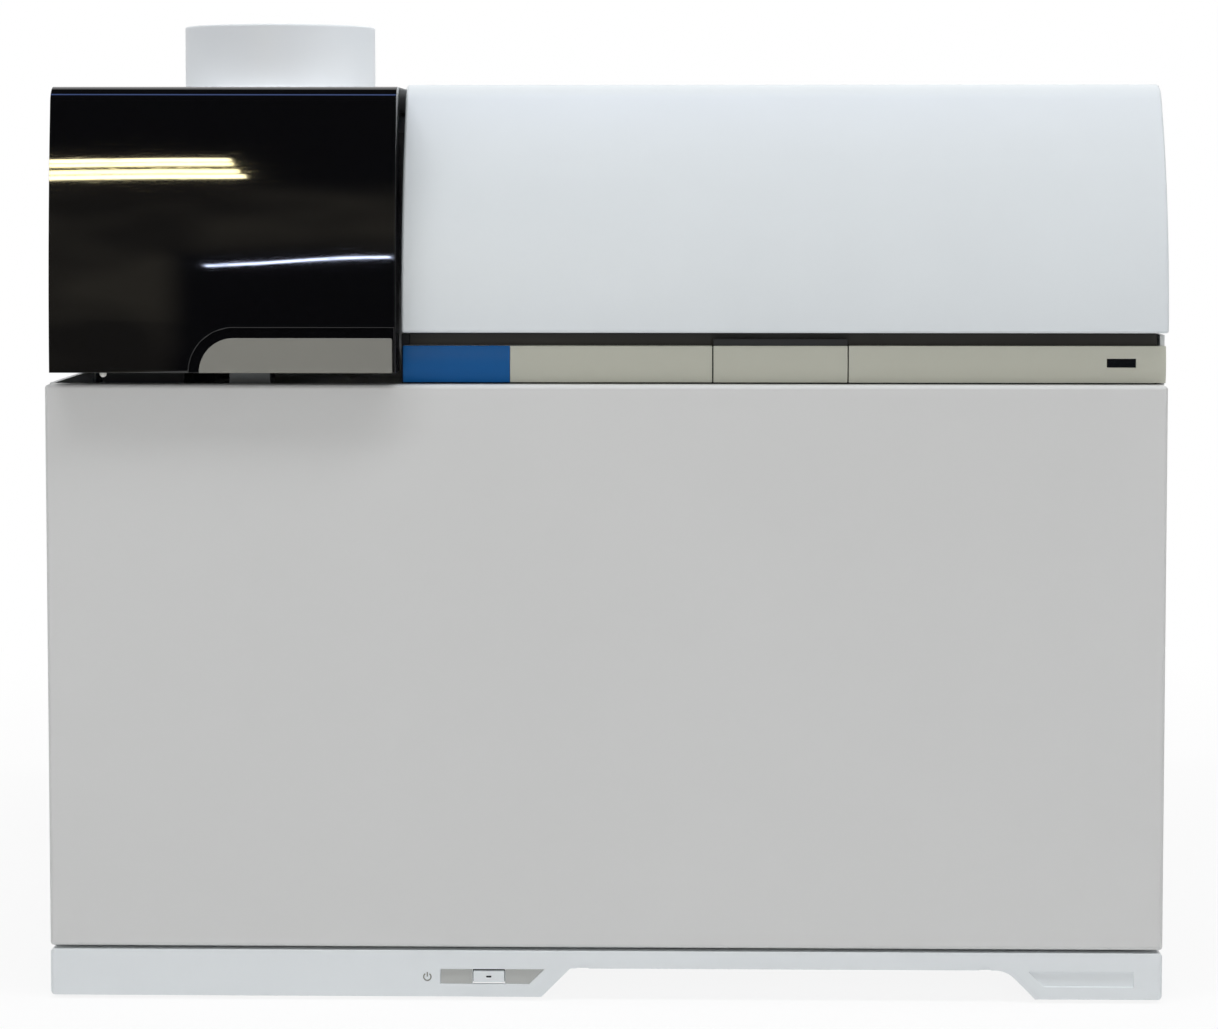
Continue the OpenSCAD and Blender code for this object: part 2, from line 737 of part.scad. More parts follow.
module strip_rail() {
    color("dimgray") difference() {
        union() {
            block(wall_x0, frame_x, rail_y, rail_y + sheet, deck_z1, cover_z0 - 1);
            block(wall_x1 + 20, frame_x, rail_y, rail_y + 14, deck_z1, deck_z1 + sheet);
        }
        block(latch_x0 + 20 - slide_gap, latch_x0 + latch_w - 20 + slide_gap, rail_y - eps,
              rail_y + sheet + eps, strip_z0 + 6 - slide_gap, strip_z1 - 6 + slide_gap);
        block(catch_x - catch_w / 2, catch_x + catch_w / 2, rail_y + sheet, rail_y + 14 + eps,
              deck_z1 - eps, deck_z1 + sheet + eps);
    }
}

module name_strip() {
    color("silver") difference() {
        across(cover_x0, latch_x0) strip_section();
        block(cover_x0 - eps, cover_x0 + plate_w, strip_y - eps, strip_y + strip_bulge + plate_t,
              strip_z0 - eps, strip_z1 + eps);
    }
}

module colour_plate() {
    color("steelblue") intersection() {
        across(cover_x0, cover_x0 + plate_w - 0.1) strip_section();
        block(cover_x0 - eps, cover_x0 + plate_w, strip_y - eps, strip_y + strip_bulge + plate_t,
              strip_z0 - eps, strip_z1 + eps);
    }
}

module status_strip() {
    x1 = half_w - window_in;
    zc = (strip_z0 + strip_z1) / 2 + 1;
    color("silver") difference() {
        across(latch_x0 + latch_w, half_w) strip_section();
        block(x1 - window_w, x1, strip_y - eps, strip_y + 3, zc - window_h / 2, zc + window_h / 2);
    }
}

module status_window() {
    x1 = half_w - window_in;
    zc = (strip_z0 + strip_z1) / 2 + 1;
    color("black") block(x1 - window_w + 0.1, x1 - 0.1, strip_y + 0.6, strip_y + 3,
                         zc - window_h / 2 + 0.1, zc + window_h / 2 - 0.1);
}

// The latch bar, its plunger behind and the finger plate above it
module cover_latch() {
    color("silver") union() {
        across(latch_x0 + latch_joint, latch_x0 + latch_w - latch_joint) intersection() {
            strip_section();
            translate([strip_y, strip_z0]) square([strip_t - latch_travel - slide_gap, strip_h]);
        }
        block(latch_x0 + latch_joint, latch_x0 + latch_w - latch_joint, strip_y + 3,
              rail_y - latch_travel - slide_gap, strip_z1 - 1, strip_z1 + finger_gap / 2);
        block(latch_x0 + 20, latch_x0 + latch_w - 20, rail_y - latch_travel - slide_gap - 1,
              rail_y + sheet + 2, strip_z0 + 6, strip_z1 - 6);
    }
}

// ---- Hood and analyser cover --------------------------------------------------------------

module hood_shell() {
    color("#141416") {
        hood_walls();
        cheek_tail(hood_x0, hood_x0 + skin, hood_axis_y, hood_z0);
        block(hood_xc + 4, hood_xc + 23, hood_y + skin + 2, deck_y + 20, hood_z0, hood_z0 + skin);
    }
}

// The strip of cheek that runs on below a hinge, close to the panel behind it
module cheek_tail(x0, x1, axis_y, bottom) {
    block(x0, x1, axis_y - seam - eps, axis_y + seam - 1.2, bottom, hinge_z - knuckle_r - 1);
}

module hood_walls() {
    difference() {
        across(hood_x0, hood_x1) hood_outline(0);
        across(hood_x0 + skin, hood_x1 - skin) difference() {
            hood_outline(skin);
            translate([hood_y - eps, hood_z0 - eps]) square([skin + lip_d, skin + eps]);
        }
        block(hood_x1 - skin - eps, hood_x1 + eps, hood_y + lip_d + skin + 12, hood_axis_y,
              hood_z0 - eps, hood_top - skin - lip_d);
        back_from(hood_y - eps, hood_y + grip_seat) grip_outline(0);
        back_from(hood_y - eps, hood_y + scoop_d) difference() {
            grip_outline(scoop_w);
            translate([hood_x1 - 1, hood_z0 - eps]) square(2 * grip_h);
        }
    }
}

// The grip's outline seen from the front, with its quarter-round left end; grow widens it
module grip_outline(grow) {
    x = grip_x1 - grip_w + grip_h;
    translate([x, hood_z0]) circle(grip_h + grow, $fn = 96);
    translate([x, hood_z0 - eps]) square([grip_x1 - x + grow - grip_corner, grip_h + grow + eps]);
    translate([x, hood_z0 - eps]) square([grip_x1 - x + grow, grip_h + grow + eps - grip_corner]);
    translate([grip_x1 + grow - grip_corner, hood_z0 + grip_h + grow - grip_corner]) circle(grip_corner);
}

// The grip: a flat bar along the hood's lower edge with a quarter-round left end
module hood_handle() {
    color("gray") back_from(hood_y, hood_y + grip_seat) intersection() {
        grip_outline(0);
        translate([hood_x0, hood_z0]) square([hood_w, grip_h]);
    }
}

module hood_hinge_leaves() {
    color("silver") for (x = hood_hinge_xs) hinge_moving(x, hood_axis_y, hood_top - skin);
}

module cover_shell() {
    color("white") {
        cover_walls();
        cheek_tail(half_w - skin, half_w, cover_axis_y, cover_z0);
        block(catch_x - 10, catch_x + 10, face_y + skin + 2, deck_y + 20, cover_z0, cover_z0 + skin);
    }
}

module cover_walls() {
    difference() {
        across(cover_x0, half_w) cover_face_outline(0);
        across(cover_x0 + skin, half_w - skin) difference() {
            cover_face_outline(skin);
            translate([face_y - eps, cover_z0 - eps]) square([skin + lip_d - 4, skin + eps]);
        }
        across(cover_x0 - eps, cover_x0 + skin + eps) difference() {
            translate([face_y, cover_z0 - eps]) square([cover_d, roof_h - skin - cover_z0]);
            difference() {
                cover_face_outline(0);
                cover_face_outline(skin + lip_d - 1);
            }
        }
    }
}

module cover_hinge_leaves() {
    color("silver") for (x = cover_hinge_xs) hinge_moving(x, cover_axis_y, roof_h - skin);
}

module hinge_brackets() {
    color("silver") {
        for (x = hood_hinge_xs) hinge_fixed(x, hood_axis_y);
        for (x = cover_hinge_xs) hinge_fixed(x, cover_axis_y);
    }
}

// Two touch catches: one under the hood's lower edge, one behind the latch bar
module touch_catches() {
    color("dimgray") {
        block(hood_xc, hood_xc + 27, deck_y, deck_y + 24, deck_z1, hood_z0 - slide_gap);
        difference() {
            block(catch_x - catch_w / 2, catch_x + catch_w / 2, rail_y + sheet, rail_y + sheet + 24,
                  deck_z1, cover_z0 - slide_gap);
            block(latch_x0 + 19, latch_x0 + latch_w - 19, rail_y, rail_y + sheet + 3 + latch_travel,
                  strip_z0 + 5, strip_z1 - 5);
        }
    }
}

// ---- Exhaust ------------------------------------------------------------------------------

module exhaust_collar() {
    bore = duct_r - duct_wall;
    color("white") translate([duct_x, duct_y, 0]) rotate_extrude($fn = 96)
        polygon([[bore, roof_z0 - 12], [duct_r, roof_z0 - 12], [duct_r, roof_h],
                 [duct_r + duct_flange, roof_h], [duct_r + duct_flange, roof_h + sheet],
                 [duct_r, roof_h + sheet], [duct_r, roof_h + duct_h - 1], [duct_r - 1, roof_h + duct_h],
                 [bore, roof_h + duct_h]]);
}

// ---- Ion path -----------------------------------------------------------------------------

module interface_block() {
    color("peru") difference() {
        union() {
            rod_x(iface_r, iface_x0, chamber_x0, axis_y, axis_z);
            rod_x(iface_r + 14, wall_x1, chamber_x0, axis_y, axis_z);
        }
        rod_x(20, iface_x0 - eps, wall_x1 + 4, axis_y, axis_z);
        rod_x(6, iface_x0, chamber_x0 + eps, axis_y, axis_z);
    }
}

// A hollow cone on a flat base ring, pointing to -X
module cone_on_ring(x, base_r, ring, high, top_r, hole_r, wall) {
    translate([x, axis_y, axis_z]) rotate([0, -90, 0]) rotate_extrude()
        polygon([[base_r - ring, 0], [base_r, 0], [base_r, wall], [base_r - ring, wall],
                 [top_r, high], [hole_r, high], [base_r - ring - wall, 0]]);
}

module sampler_cone() { color("silver") cone_on_ring(iface_x0, 27, 12, 13, 2, 0.6, 2); }
module skimmer_cone() { color("silver") cone_on_ring(wall_x1 + 4, 15, 6, 12, 1.4, 0.5, 1.5); }

module vacuum_chamber() {
    y0 = axis_y - chamber_w / 2;
    y1 = axis_y + chamber_w / 2;
    color("lightgray") difference() {
        union() {
            block(chamber_x0, chamber_x1, y0, y1, chamber_z0, chamber_z1);
            for (x = [chamber_x0 + 16, chamber_x1 - 16], y = [y0 + 16, y1 - 16])
                rod_z(9, deck_z1, chamber_z0 + 1, x, y);
            for (i = [0 : 4]) {
                x = chamber_x0 + 30 + i * (chamber_len - 96) / 4;
                block(x, x + 6, y0 - 4, y0 + 1, chamber_z0, chamber_z1 - 14);
            }
        }
        block(chamber_x0 + chamber_wall, chamber_x1 - chamber_wall, y0 + chamber_wall, y1 - chamber_wall,
              chamber_z0 + chamber_wall, chamber_z1 + eps);
        rod_x(8, chamber_x0 - eps, chamber_x0 + chamber_wall + eps, axis_y, axis_z);
        rod_z(turbo_r - 10, chamber_z0 - eps, chamber_z0 + chamber_wall + eps, turbo_x, axis_y);
    }
}

module chamber_lid() {
    y0 = axis_y - chamber_w / 2;
    color("lightgray") union() {
        block(chamber_x0, chamber_x1, y0, y0 + chamber_w, chamber_z1, chamber_z1 + lid_t - 2);
        for (i = [0 : 5]) for (y = [y0 + 7, y0 + chamber_w - 7])
            rod_z(4, chamber_z1 + lid_t - 2, chamber_z1 + lid_t, chamber_x0 + 10 + i * (chamber_len - 20) / 5, y);
    }
}

// Ring lenses on four spacer rods, against the chamber's front wall
module ion_lens() {
    x0 = chamber_x0 + chamber_wall;
    color("silver") difference() {
        union() {
            for (i = [0 : 3]) rod_x(24, x0 + 4 + i * 10, x0 + 7 + i * 10, axis_y, axis_z);
            for (a = [45 : 90 : 315])
                rod_x(2, x0, x0 + 42, axis_y + 19 * cos(a), axis_z + 19 * sin(a));
        }
        rod_x(5, x0 - eps, x0 + 60, axis_y, axis_z);
    }
}

module collision_cell() {
    color("silver") difference() {
        union() {
            rod_x(22, cell_x0, cell_x0 + cell_w, axis_y, axis_z);
            for (x = [cell_x0 + 4, cell_x0 + cell_w - 10])
                block(x, x + 6, axis_y - 10, axis_y + 10, chamber_z0 + chamber_wall, axis_z);
        }
        rod_x(16, cell_x0 + 4, cell_x0 + cell_w - 4, axis_y, axis_z);
        rod_x(3, cell_x0 - eps, cell_x0 + cell_w + eps, axis_y, axis_z);
    }
}

// Four rods at the corners of a square, held in two collars on plates between the chamber's walls
module quadrupole() {
    pitch = rod_r + 7;
    collar_t = 12;
    half_bay = chamber_w / 2 - chamber_wall;
    color("silver") union() {
        for (sy = [-1, 1], sz = [-1, 1])
            rod_x(rod_r, quad_x0 + 4, quad_x0 + 4 + rod_len, axis_y + sy * pitch * 0.707,
                  axis_z + sz * pitch * 0.707);
        for (x = [quad_x0 + 14, quad_x0 + quad_len - 14 - collar_t]) difference() {
            union() {
                rod_x(pitch + rod_r + 6, x, x + collar_t, axis_y, axis_z);
                block(x, x + collar_t, axis_y - half_bay, axis_y + half_bay, axis_z - 9, axis_z + 9);
            }
            rod_x(rod_r - 2, x - eps, x + collar_t + eps, axis_y, axis_z);
        }
    }
}

module detector() {
    color("dimgray") union() {
        block(detector_x0, detector_x0 + detector_w, axis_y - 16, axis_y + 16, axis_z - 20, axis_z + 26);
        block(detector_x0 + 10, detector_x0 + 24, axis_y - 10, axis_y + 10, chamber_z0 + chamber_wall,
              axis_z - 20);
    }
}

pipe_r = 12.5;

module turbo_pump() {
    z1 = chamber_z0;
    color("silver") difference() {
        union() {
            rod_z(turbo_r, z1 - 110, z1, turbo_x, axis_y);
            rod_z(turbo_r - 8, z1 - turbo_len, z1 - 108, turbo_x, axis_y);
            for (i = [0 : 3]) rod_z(turbo_r - 2, z1 - turbo_len + 38 + i * 4, z1 - turbo_len + 40 + i * 4,
                                    turbo_x, axis_y);
        }
        rod_z(turbo_r - 10, z1 - 40, z1 + eps, turbo_x, axis_y);
    }
}

module foreline_pipe() {
    y0 = axis_y + turbo_r - 8;
    color("silver") difference() {
        union() {
            rod_y(pipe_r, y0 - 3, body_d / 2, turbo_x, turbo_port_z);
            rod_y(pipe_r + 7, body_d / 2 - 6, body_d / 2, turbo_x, turbo_port_z);
        }
        rod_y(pipe_r - 2, y0 + 12, body_d / 2 + eps, turbo_x, turbo_port_z);
        rod_z(turbo_r - 8, turbo_port_z - 30, turbo_port_z + 30, turbo_x, axis_y);
    }
}

// ---- Services -----------------------------------------------------------------------------

gas_r = 6;
gas_z = 300;
gas_xs = [for (i = [0 : 2]) -half_w + 115 + i * 30];
water_r = 9;
water_z = 300;
water_xs = [for (i = [0 : 1]) -half_w + 245 + i * 35];
gland_r = 12;
gland_x = half_w - 70;
gland_z = 90;

module rf_generator() {
    color("gray") union() {
        block(rf_x0, rf_x0 + rf_w, rf_y0, rf_y0 + rf_d, pan_z1, pan_z1 + rf_h);
        for (i = [0 : 11]) {
            x = rf_x0 + 6 + i * (rf_w - 18) / 11;
            block(x, x + 4, rf_y0 + 4, rf_y0 + rf_d - 4, pan_z1 + rf_h, pan_z1 + rf_h + 15);
        }
    }
}

module power_supply() {
    color("gray") difference() {
        block(psu_x0, psu_x0 + psu_w, psu_y1 - psu_d, psu_y1, pan_z1, pan_z1 + psu_h);
        for (i = [0 : 9]) {
            x = psu_x0 + 10 + i * (psu_w - 26) / 9;
            block(x, x + 6, psu_y1 - psu_d + 20, psu_y1 - 20, pan_z1 + psu_h - 6, pan_z1 + psu_h + eps);
        }
    }
}

module control_board() {
    x1 = frame_x - flange_w - 2;
    y0 = standoff_ys[0] - board_rim;
    z0 = standoff_zs[0] - board_rim;
    color("darkgreen") union() {
        block(x1 - board_t, x1, y0, standoff_ys[1] + board_rim, z0, standoff_zs[1] + board_rim);
        for (y = standoff_ys, z = standoff_zs) rod_x(4, x1, frame_x, y, z);
        for (i = [0 : 4]) block(x1 - 12, x1 - board_t, y0 + 12 + i * chip_pitch,
                                y0 + 12 + chip_w + i * chip_pitch, z0 + 16, z0 + 16 + chip_w);
        for (i = [0 : 3]) block(x1 - 18, x1 - board_t, y0 + 20 + i * 2 * chip_w,
                                y0 + 24 + chip_w + i * 2 * chip_w, z0 + 80, z0 + 76 + chip_w);
    }
}

module cooling_fan() {
    color("dimgray") union() {
        difference() {
            block(fan_x - fan_w / 2, fan_x + fan_w / 2, fan_y0, fan_y1, fan_z - fan_w / 2, fan_z + fan_w / 2);
            rod_y(fan_bore_r, fan_y0 - eps, fan_y1 + eps, fan_x, fan_z);
        }
        for (a = [45 : 90 : 315]) translate([fan_x, 0, fan_z]) rotate([0, a, 0])
            translate([0, fan_y0, -2.5]) cube([fan_bore_r + 1, fan_spoke_t, 5]);
        rod_y(fan_hub_r - 1, fan_y0, fan_y0 + fan_spoke_t, fan_x, fan_z);
        rod_y(fan_shaft_r, fan_y0, fan_y0 + fan_shaft_len, fan_x, fan_z);
    }
}

module fan_rotor() {
    y0 = fan_y0 + fan_spoke_t + 1;
    y1 = fan_y1 - 2;
    color("black") difference() {
        union() {
            rod_y(fan_hub_r, y0, y1, fan_x, fan_z);
            for (i = [0 : blades - 1]) translate([fan_x, (y0 + y1) / 2, fan_z]) rotate([0, i * 360 / blades, 0])
                translate([fan_hub_r - 4, 0, 0]) rotate([38, 0, 0]) translate([0, -8, -1])
                    cube([fan_bore_r - fan_hub_r + 1, 16, 2]);
        }
        rod_y(fan_shaft_r + run, fan_y0, fan_y0 + fan_shaft_len + eps, fan_x, fan_z);
    }
}

// A manifold block behind the rear panel with barbed ports through it
module manifold(xs, z, r) {
    x0 = xs[0] - 18;
    x1 = xs[len(xs) - 1] + 18;
    difference() {
        union() {
            block(x0, x1, inner_back_y - 34, inner_back_y, z - 20, z + 20);
            for (x = xs) {
                rod_y(r, inner_back_y - 1, body_d / 2, x, z);
                rod_y(r + 2, back_y + 1, back_y + 7, x, z);
            }
        }
        for (x = xs) rod_y(r - 2, inner_back_y - 20, body_d / 2 + eps, x, z);
    }
}

module water_manifold() { color("peru") manifold(water_xs, water_z, water_r); }
module gas_manifold() { color("goldenrod") manifold(gas_xs, gas_z, gas_r); }

module mains_gland() {
    color("black") difference() {
        union() {
            rod_y(gland_r, inner_back_y - 8, back_y + 8, gland_x, gland_z);
            rod_y(gland_r + 4, inner_back_y - 5, inner_back_y, gland_x, gland_z);
            rod_y(gland_r + 4, back_y, back_y + 6, gland_x, gland_z);
            rod_y(gland_r - 3, back_y + 6, back_y + 15, gland_x, gland_z);
        }
        rod_y(5, inner_back_y - 10, back_y + 16, gland_x, gland_z);
    }
}

module power_switch() {
    y0 = face_y + skin + button_travel + slide_gap;
    color("dimgray") union() {
        block(button_x - 12, button_x + 12, y0 + 4, rim_y, button_z - 5.5, button_z + 5.5);
        block(button_x - 2, button_x + 2, y0 + 2.5, y0 + 5, button_z - 2, button_z + 2);
    }
}

module power_button() {
    color("gainsboro") union() {
        block(button_x - button_w / 2, button_x + button_w / 2, face_y + 0.2, face_y + skin,
              button_z - button_h / 2, button_z + button_h / 2);
        block(button_x - 2, button_x + 2, face_y + skin - 1, face_y + skin + 2.2, button_z - 2, button_z + 2);
    }
}

// ---- Torch box and what rides on it --------------------------------------------------------

module stage_rails() {
    color("silver") for (y = rail_ys)
        block(stage_x0 - torch_travel + 4, torch_x1 + 1, y - rail_w / 2, y + rail_w / 2, deck_z1,
              deck_z1 + rail_h);
}

module torch_box() {
    cy = (torch_y0 + torch_y1) / 2;
    color("lightgray") difference() {
        union() {
            block(stage_x0, torch_x1, torch_y0, torch_y1, stage_z0, torch_z0);
            block(torch_x0, torch_x1, torch_y0, torch_y1, torch_z0 - 1, torch_z1);
            for (y = rail_ys, x = [stage_x0 + 8, torch_x1 - 36])
                block(x, x + 28, y - rail_w / 2 - 7, y + rail_w / 2 + 7, deck_z1 + 2, stage_z0 + 1);
            for (x = [door_x0 + 4, door_x0 + door_w - 16]) {
                rod_x(2.6, x, x + 12, door_axis_y, door_axis_z);
                block(x, x + 12, door_axis_y, torch_y0 + 1, door_axis_z - 2.2, door_axis_z + 2.2);
            }
        }
        block(torch_x0 + box_wall, torch_x1 - box_wall, torch_y0 + box_wall, torch_y1 - box_wall,
              torch_z0, torch_z1 - box_wall);
        block(door_x0 + 6, door_x0 + door_w - 6, torch_y0 - eps, torch_y0 + box_wall + eps, door_z0 + 6,
              door_z1 - 6);
        rod_x(iface_r + 4, torch_x1 - box_wall - eps, torch_x1 + eps, axis_y, axis_z);
        rod_x(torch_r + 6, torch_x0 - eps, torch_x0 + box_wall + eps, axis_y, axis_z);
        block(torch_x0 + 14, torch_x1 - 14, cy + 8, torch_y1 - 12, torch_z1 - box_wall - eps,
              torch_z1 + eps);
        for (y = rail_ys, x = [stage_x0, torch_x1 - 40])
            block(x, x + 40, y - rail_w / 2 - slide_gap, y + rail_w / 2 + slide_gap, deck_z1,
                  deck_z1 + rail_h + slide_gap);
        for (x = [door_x0 + 4, door_x0 + door_w - 16])
            rod_x(1.5 + run, x - eps, x + 12 + eps, door_axis_y, door_axis_z);
    }
}

// The door hangs from two eyes on the box and carries the pin in its own ears
module torch_door() {
    color("silver") difference() {
        union() {
            block(door_x0, door_x0 + door_w, torch_y0 - slide_gap - door_t, torch_y0 - slide_gap, door_z0,
                  door_z1);
            for (x0 = [door_x0, door_x0 + door_w - 20]) {
                for (x = [x0, x0 + 16 + slide_gap])
                    block(x, x + 4 - slide_gap, door_axis_y - 2, door_axis_y + 2, door_z1 - 4, door_axis_z + 2);
                rod_x(1.5, x0 + 3, x0 + 17, door_axis_y, door_axis_z);
            }
            block(door_x0 + door_w / 2 - 12, door_x0 + door_w / 2 + 12, torch_y0 - 11, torch_y0 - slide_gap - 1,
                  door_z0, door_z0 + 4);
        }
        rod_y(door_window_r, torch_y0 - 8, torch_y0, door_x0 + door_w / 2, (door_z0 + door_z1) / 2);
    }
}

module door_window() {
    color("dimgray") rod_y(door_window_r, torch_y0 - slide_gap - door_t + 0.5, torch_y0 - slide_gap - 0.5,
                           door_x0 + door_w / 2, (door_z0 + door_z1) / 2);
}

module cooler_block() {
    color("white") difference() {
        union() {
            block(cooler_x0, cooler_x1, cooler_y0, cooler_y1, torch_z0, torch_z1 - cooler_drop);
            for (i = [0 : 6]) {
                x = cooler_x0 + 4 + i * (cooler_w - 12) / 6;
                block(x, x + 2, cooler_y1 - 1, cooler_y1 + 14, torch_z0 + 10, torch_z1 - cooler_drop - 15);
            }
        }
        rod_y(neb_r, cooler_y0 - eps, cooler_y0 + 12, neb_x, neb_z);
    }
}

neb_r = 5;
neb_x = (cooler_x0 + cooler_x1) / 2;
neb_z = axis_z - 22;

module nebulizer() {
    color("white") difference() {
        union() {
            rod_y(neb_r, cooler_y0 - 22, cooler_y0 + 12, neb_x, neb_z);
            rod_y(neb_r - 2.5, cooler_y0 - 40, cooler_y0 - 20, neb_x, neb_z);
            rod_z(neb_r - 2.5, neb_z - 16, neb_z, neb_x, cooler_y0 - 14);
        }
        rod_y(0.8, cooler_y0 - 42, cooler_y0 - 20, neb_x, neb_z);
    }
}

// Three nested quartz tubes on a base with a side arm
module torch_tube() {
    color("white") translate([cooler_x1, axis_y, axis_z]) rotate([0, 90, 0]) {
        len = torch_tip_x - cooler_x1;
        rotate_extrude()
            polygon([[3, 0], [torch_r + 3, 0], [torch_r + 3, 22], [torch_r, 26], [torch_r, len],
                     [torch_r - 1.2, len], [torch_r - 1.2, 30], [torch_r - 3, 30], [torch_r - 3, len - 24],
                     [torch_r - 4, len - 24], [torch_r - 4, 30], [2.4, 30], [2.4, len - 30],
                     [1.2, len - 30], [1.2, 0]]);
    }
}

// The helix and its two straight leads to the box's rear wall
function coil_point(t) = [coil_x1 - coil_pitch * t, axis_y + coil_r * cos(360 * t),
                          axis_z + coil_r * sin(360 * t)];
coil_steps = 20;
coil_path = concat(
    [[coil_x1, torch_y1 - box_wall, axis_z]],
    [[coil_x1, axis_y + coil_r + 8, axis_z]],
    [for (i = [0 : coil_steps * coil_turns]) coil_point(i / coil_steps)],
    [[coil_x1 - coil_pitch * coil_turns, axis_y + coil_r + 8, axis_z]],
    [[coil_x1 - coil_pitch * coil_turns, torch_y1 - box_wall, axis_z]]);

function unit(v) = v / norm(v);
function tangent(path, i) = unit(path[min(i + 1, len(path) - 1)] - path[max(i - 1, 0)]);
// A ring of points square to the path; the guide direction is along the coil's axis
function ring(p, dir, r, sides) =
    let (u = unit(cross(dir, [1, 0, 0])), v = cross(dir, u))
    [for (k = [0 : sides - 1]) p + r * (u * cos(360 * k / sides) + v * sin(360 * k / sides))];

module tube_along(path, r, sides) {
    n = len(path);
    points = [for (i = [0 : n - 1]) each ring(path[i], tangent(path, i), r, sides)];
    walls = [for (i = [0 : n - 2]) for (k = [0 : sides - 1])
        [i * sides + k, (i + 1) * sides + k, (i + 1) * sides + (k + 1) % sides, i * sides + (k + 1) % sides]];
    first = [for (k = [0 : sides - 1]) k];
    last = [for (k = [sides - 1 : -1 : 0]) (n - 1) * sides + k];
    polyhedron(points, concat([first], walls, [last]));
}

module load_coil() { color("peru") tube_along(coil_path, coil_tube / 2, 10); }

// ---- Peristaltic pump ----------------------------------------------------------------------

module pump_frame() {
    color("dimgray") difference() {
        union() {
            block(pump_x - pump_foot, pump_x + pump_foot, pump_y0, drum_y1 + motor_d, deck_z1, deck_z1 + 8);
            for (y = [pump_y0, drum_y1 + 1]) back_from(y, y + plate_y)
                round_rect(pump_x - pump_foot, pump_x + pump_foot - 22, deck_z1, pump_z + 8, 6);
            block(pump_x - pump_foot + 12, pump_x + pump_foot - 8, drum_y1 + plate_y, drum_y1 + motor_d, deck_z1, pump_z + 24);
            rod_y(shoe_pin_r, pump_y0 + 1, drum_y1 + 2, shoe_pin_x, pump_z);
        }
        rod_y(pump_shaft_r + run, pump_y0 - eps, drum_y1 + motor_d - 6, pump_x, pump_z);
    }
}

module pump_rotor() {
    color("silver") union() {
        rod_y(pump_shaft_r, pump_y0 + 0.5, drum_y1 + motor_d - 8, pump_x, pump_z);
        rod_y(track_r - 2 * roller_r - 2, drum_y0 + 1, drum_y1 - 1, pump_x, pump_z);
        for (y = [drum_y0, drum_y1 - 2]) rod_y(track_r - 0.5, y, y + 2, pump_x, pump_z);
    }
}

module pump_rollers() {
    color("gainsboro") for (i = [0 : rollers - 1]) {
        a = 360 * (i + 0.5) / rollers;
        rod_y(roller_r, drum_y0 + 2, drum_y1 - 2, pump_x + (track_r - roller_r) * cos(a),
              pump_z + (track_r - roller_r) * sin(a));
    }
}

// One pressure shoe: an arch over the rollers with an eye on the pin and a thumb tab
module pump_shoe(y0) {
    y1 = y0 + channel_w - 2;
    color("whitesmoke") difference() {
        union() {
            back_from(y0, y1) difference() {
                translate([pump_x, pump_z]) circle(shoe_r1, $fn = 96);
                translate([pump_x, pump_z]) circle(shoe_r0, $fn = 96);
                translate([pump_x - 60, pump_z + 4 - 64]) square([120, 64]);
            }
            back_from(y0, y1) translate([pump_x + shoe_r0 + 1, pump_z + 4]) square([16, 4]);
            rod_y(shoe_pin_r + 2.5, y0, y1, shoe_pin_x, pump_z);
            back_from(y0, y1) translate([shoe_pin_x, pump_z + 1.5]) square([8, 6]);
        }
        rod_y(shoe_pin_r + run, y0 - eps, y1 + eps, shoe_pin_x, pump_z);
    }
}

module pump_shoe_front() { pump_shoe(drum_y0 + 3.5); }
module pump_shoe_rear() { pump_shoe(drum_y0 + 4 + channel_w); }

// ---- The nodes ------------------------------------------------------------------------------

base_pan();
levelling_feet();
base_trim();
frame_left();
frame_right();
mid_deck();
bulkhead();
side_panel_left();
side_panel_right();
rear_panel();
roof_panel();
front_panel();
strip_rail();
name_strip();
colour_plate();
status_strip();
status_window();
exhaust_collar();
touch_catches();
hinge_brackets();
interface_block();
sampler_cone();
skimmer_cone();
vacuum_chamber();
chamber_lid();
ion_lens();
collision_cell();
quadrupole();
detector();
turbo_pump();
foreline_pipe();
rf_generator();
power_supply();
control_board();
cooling_fan();
water_manifold();
gas_manifold();
mains_gland();
stage_rails();
pump_frame();
power_switch();
hood_shell();
hood_handle();
hood_hinge_leaves();
cover_shell();
cover_hinge_leaves();
cover_latch();
power_button();
torch_box();
torch_door();
door_window();
cooler_block();
nebulizer();
torch_tube();
load_coil();
pump_rotor();
pump_rollers();
pump_shoe_front();
pump_shoe_rear();
fan_rotor();
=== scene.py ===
"""Benchtop plasma mass spectrometer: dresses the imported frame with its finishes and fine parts.

Metres. +X is to the right seen from the front, +Y goes to the back, +Z is up.
"""

from __future__ import annotations

import logging
import math
from dataclasses import dataclass
from enum import Enum
from typing import Protocol, Sequence

import bmesh
import bpy
import numpy as np
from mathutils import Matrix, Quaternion, Vector


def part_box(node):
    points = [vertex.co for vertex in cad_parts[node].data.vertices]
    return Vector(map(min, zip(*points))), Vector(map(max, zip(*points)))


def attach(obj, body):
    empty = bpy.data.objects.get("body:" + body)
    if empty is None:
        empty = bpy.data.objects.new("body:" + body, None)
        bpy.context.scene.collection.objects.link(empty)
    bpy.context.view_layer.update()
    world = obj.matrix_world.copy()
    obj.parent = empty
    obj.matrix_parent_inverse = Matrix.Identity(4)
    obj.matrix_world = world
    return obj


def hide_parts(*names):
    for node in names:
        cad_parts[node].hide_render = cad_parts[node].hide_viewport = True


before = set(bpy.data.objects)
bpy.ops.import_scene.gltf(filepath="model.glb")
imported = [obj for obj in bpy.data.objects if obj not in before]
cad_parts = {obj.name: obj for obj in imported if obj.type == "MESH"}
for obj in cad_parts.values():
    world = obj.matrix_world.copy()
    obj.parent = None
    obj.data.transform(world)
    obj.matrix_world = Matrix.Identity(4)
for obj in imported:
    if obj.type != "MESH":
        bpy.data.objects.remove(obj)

LOG = logging.getLogger("mass_spectrometer")
MM = 0.001
IMAGE_WIDTH = 1218
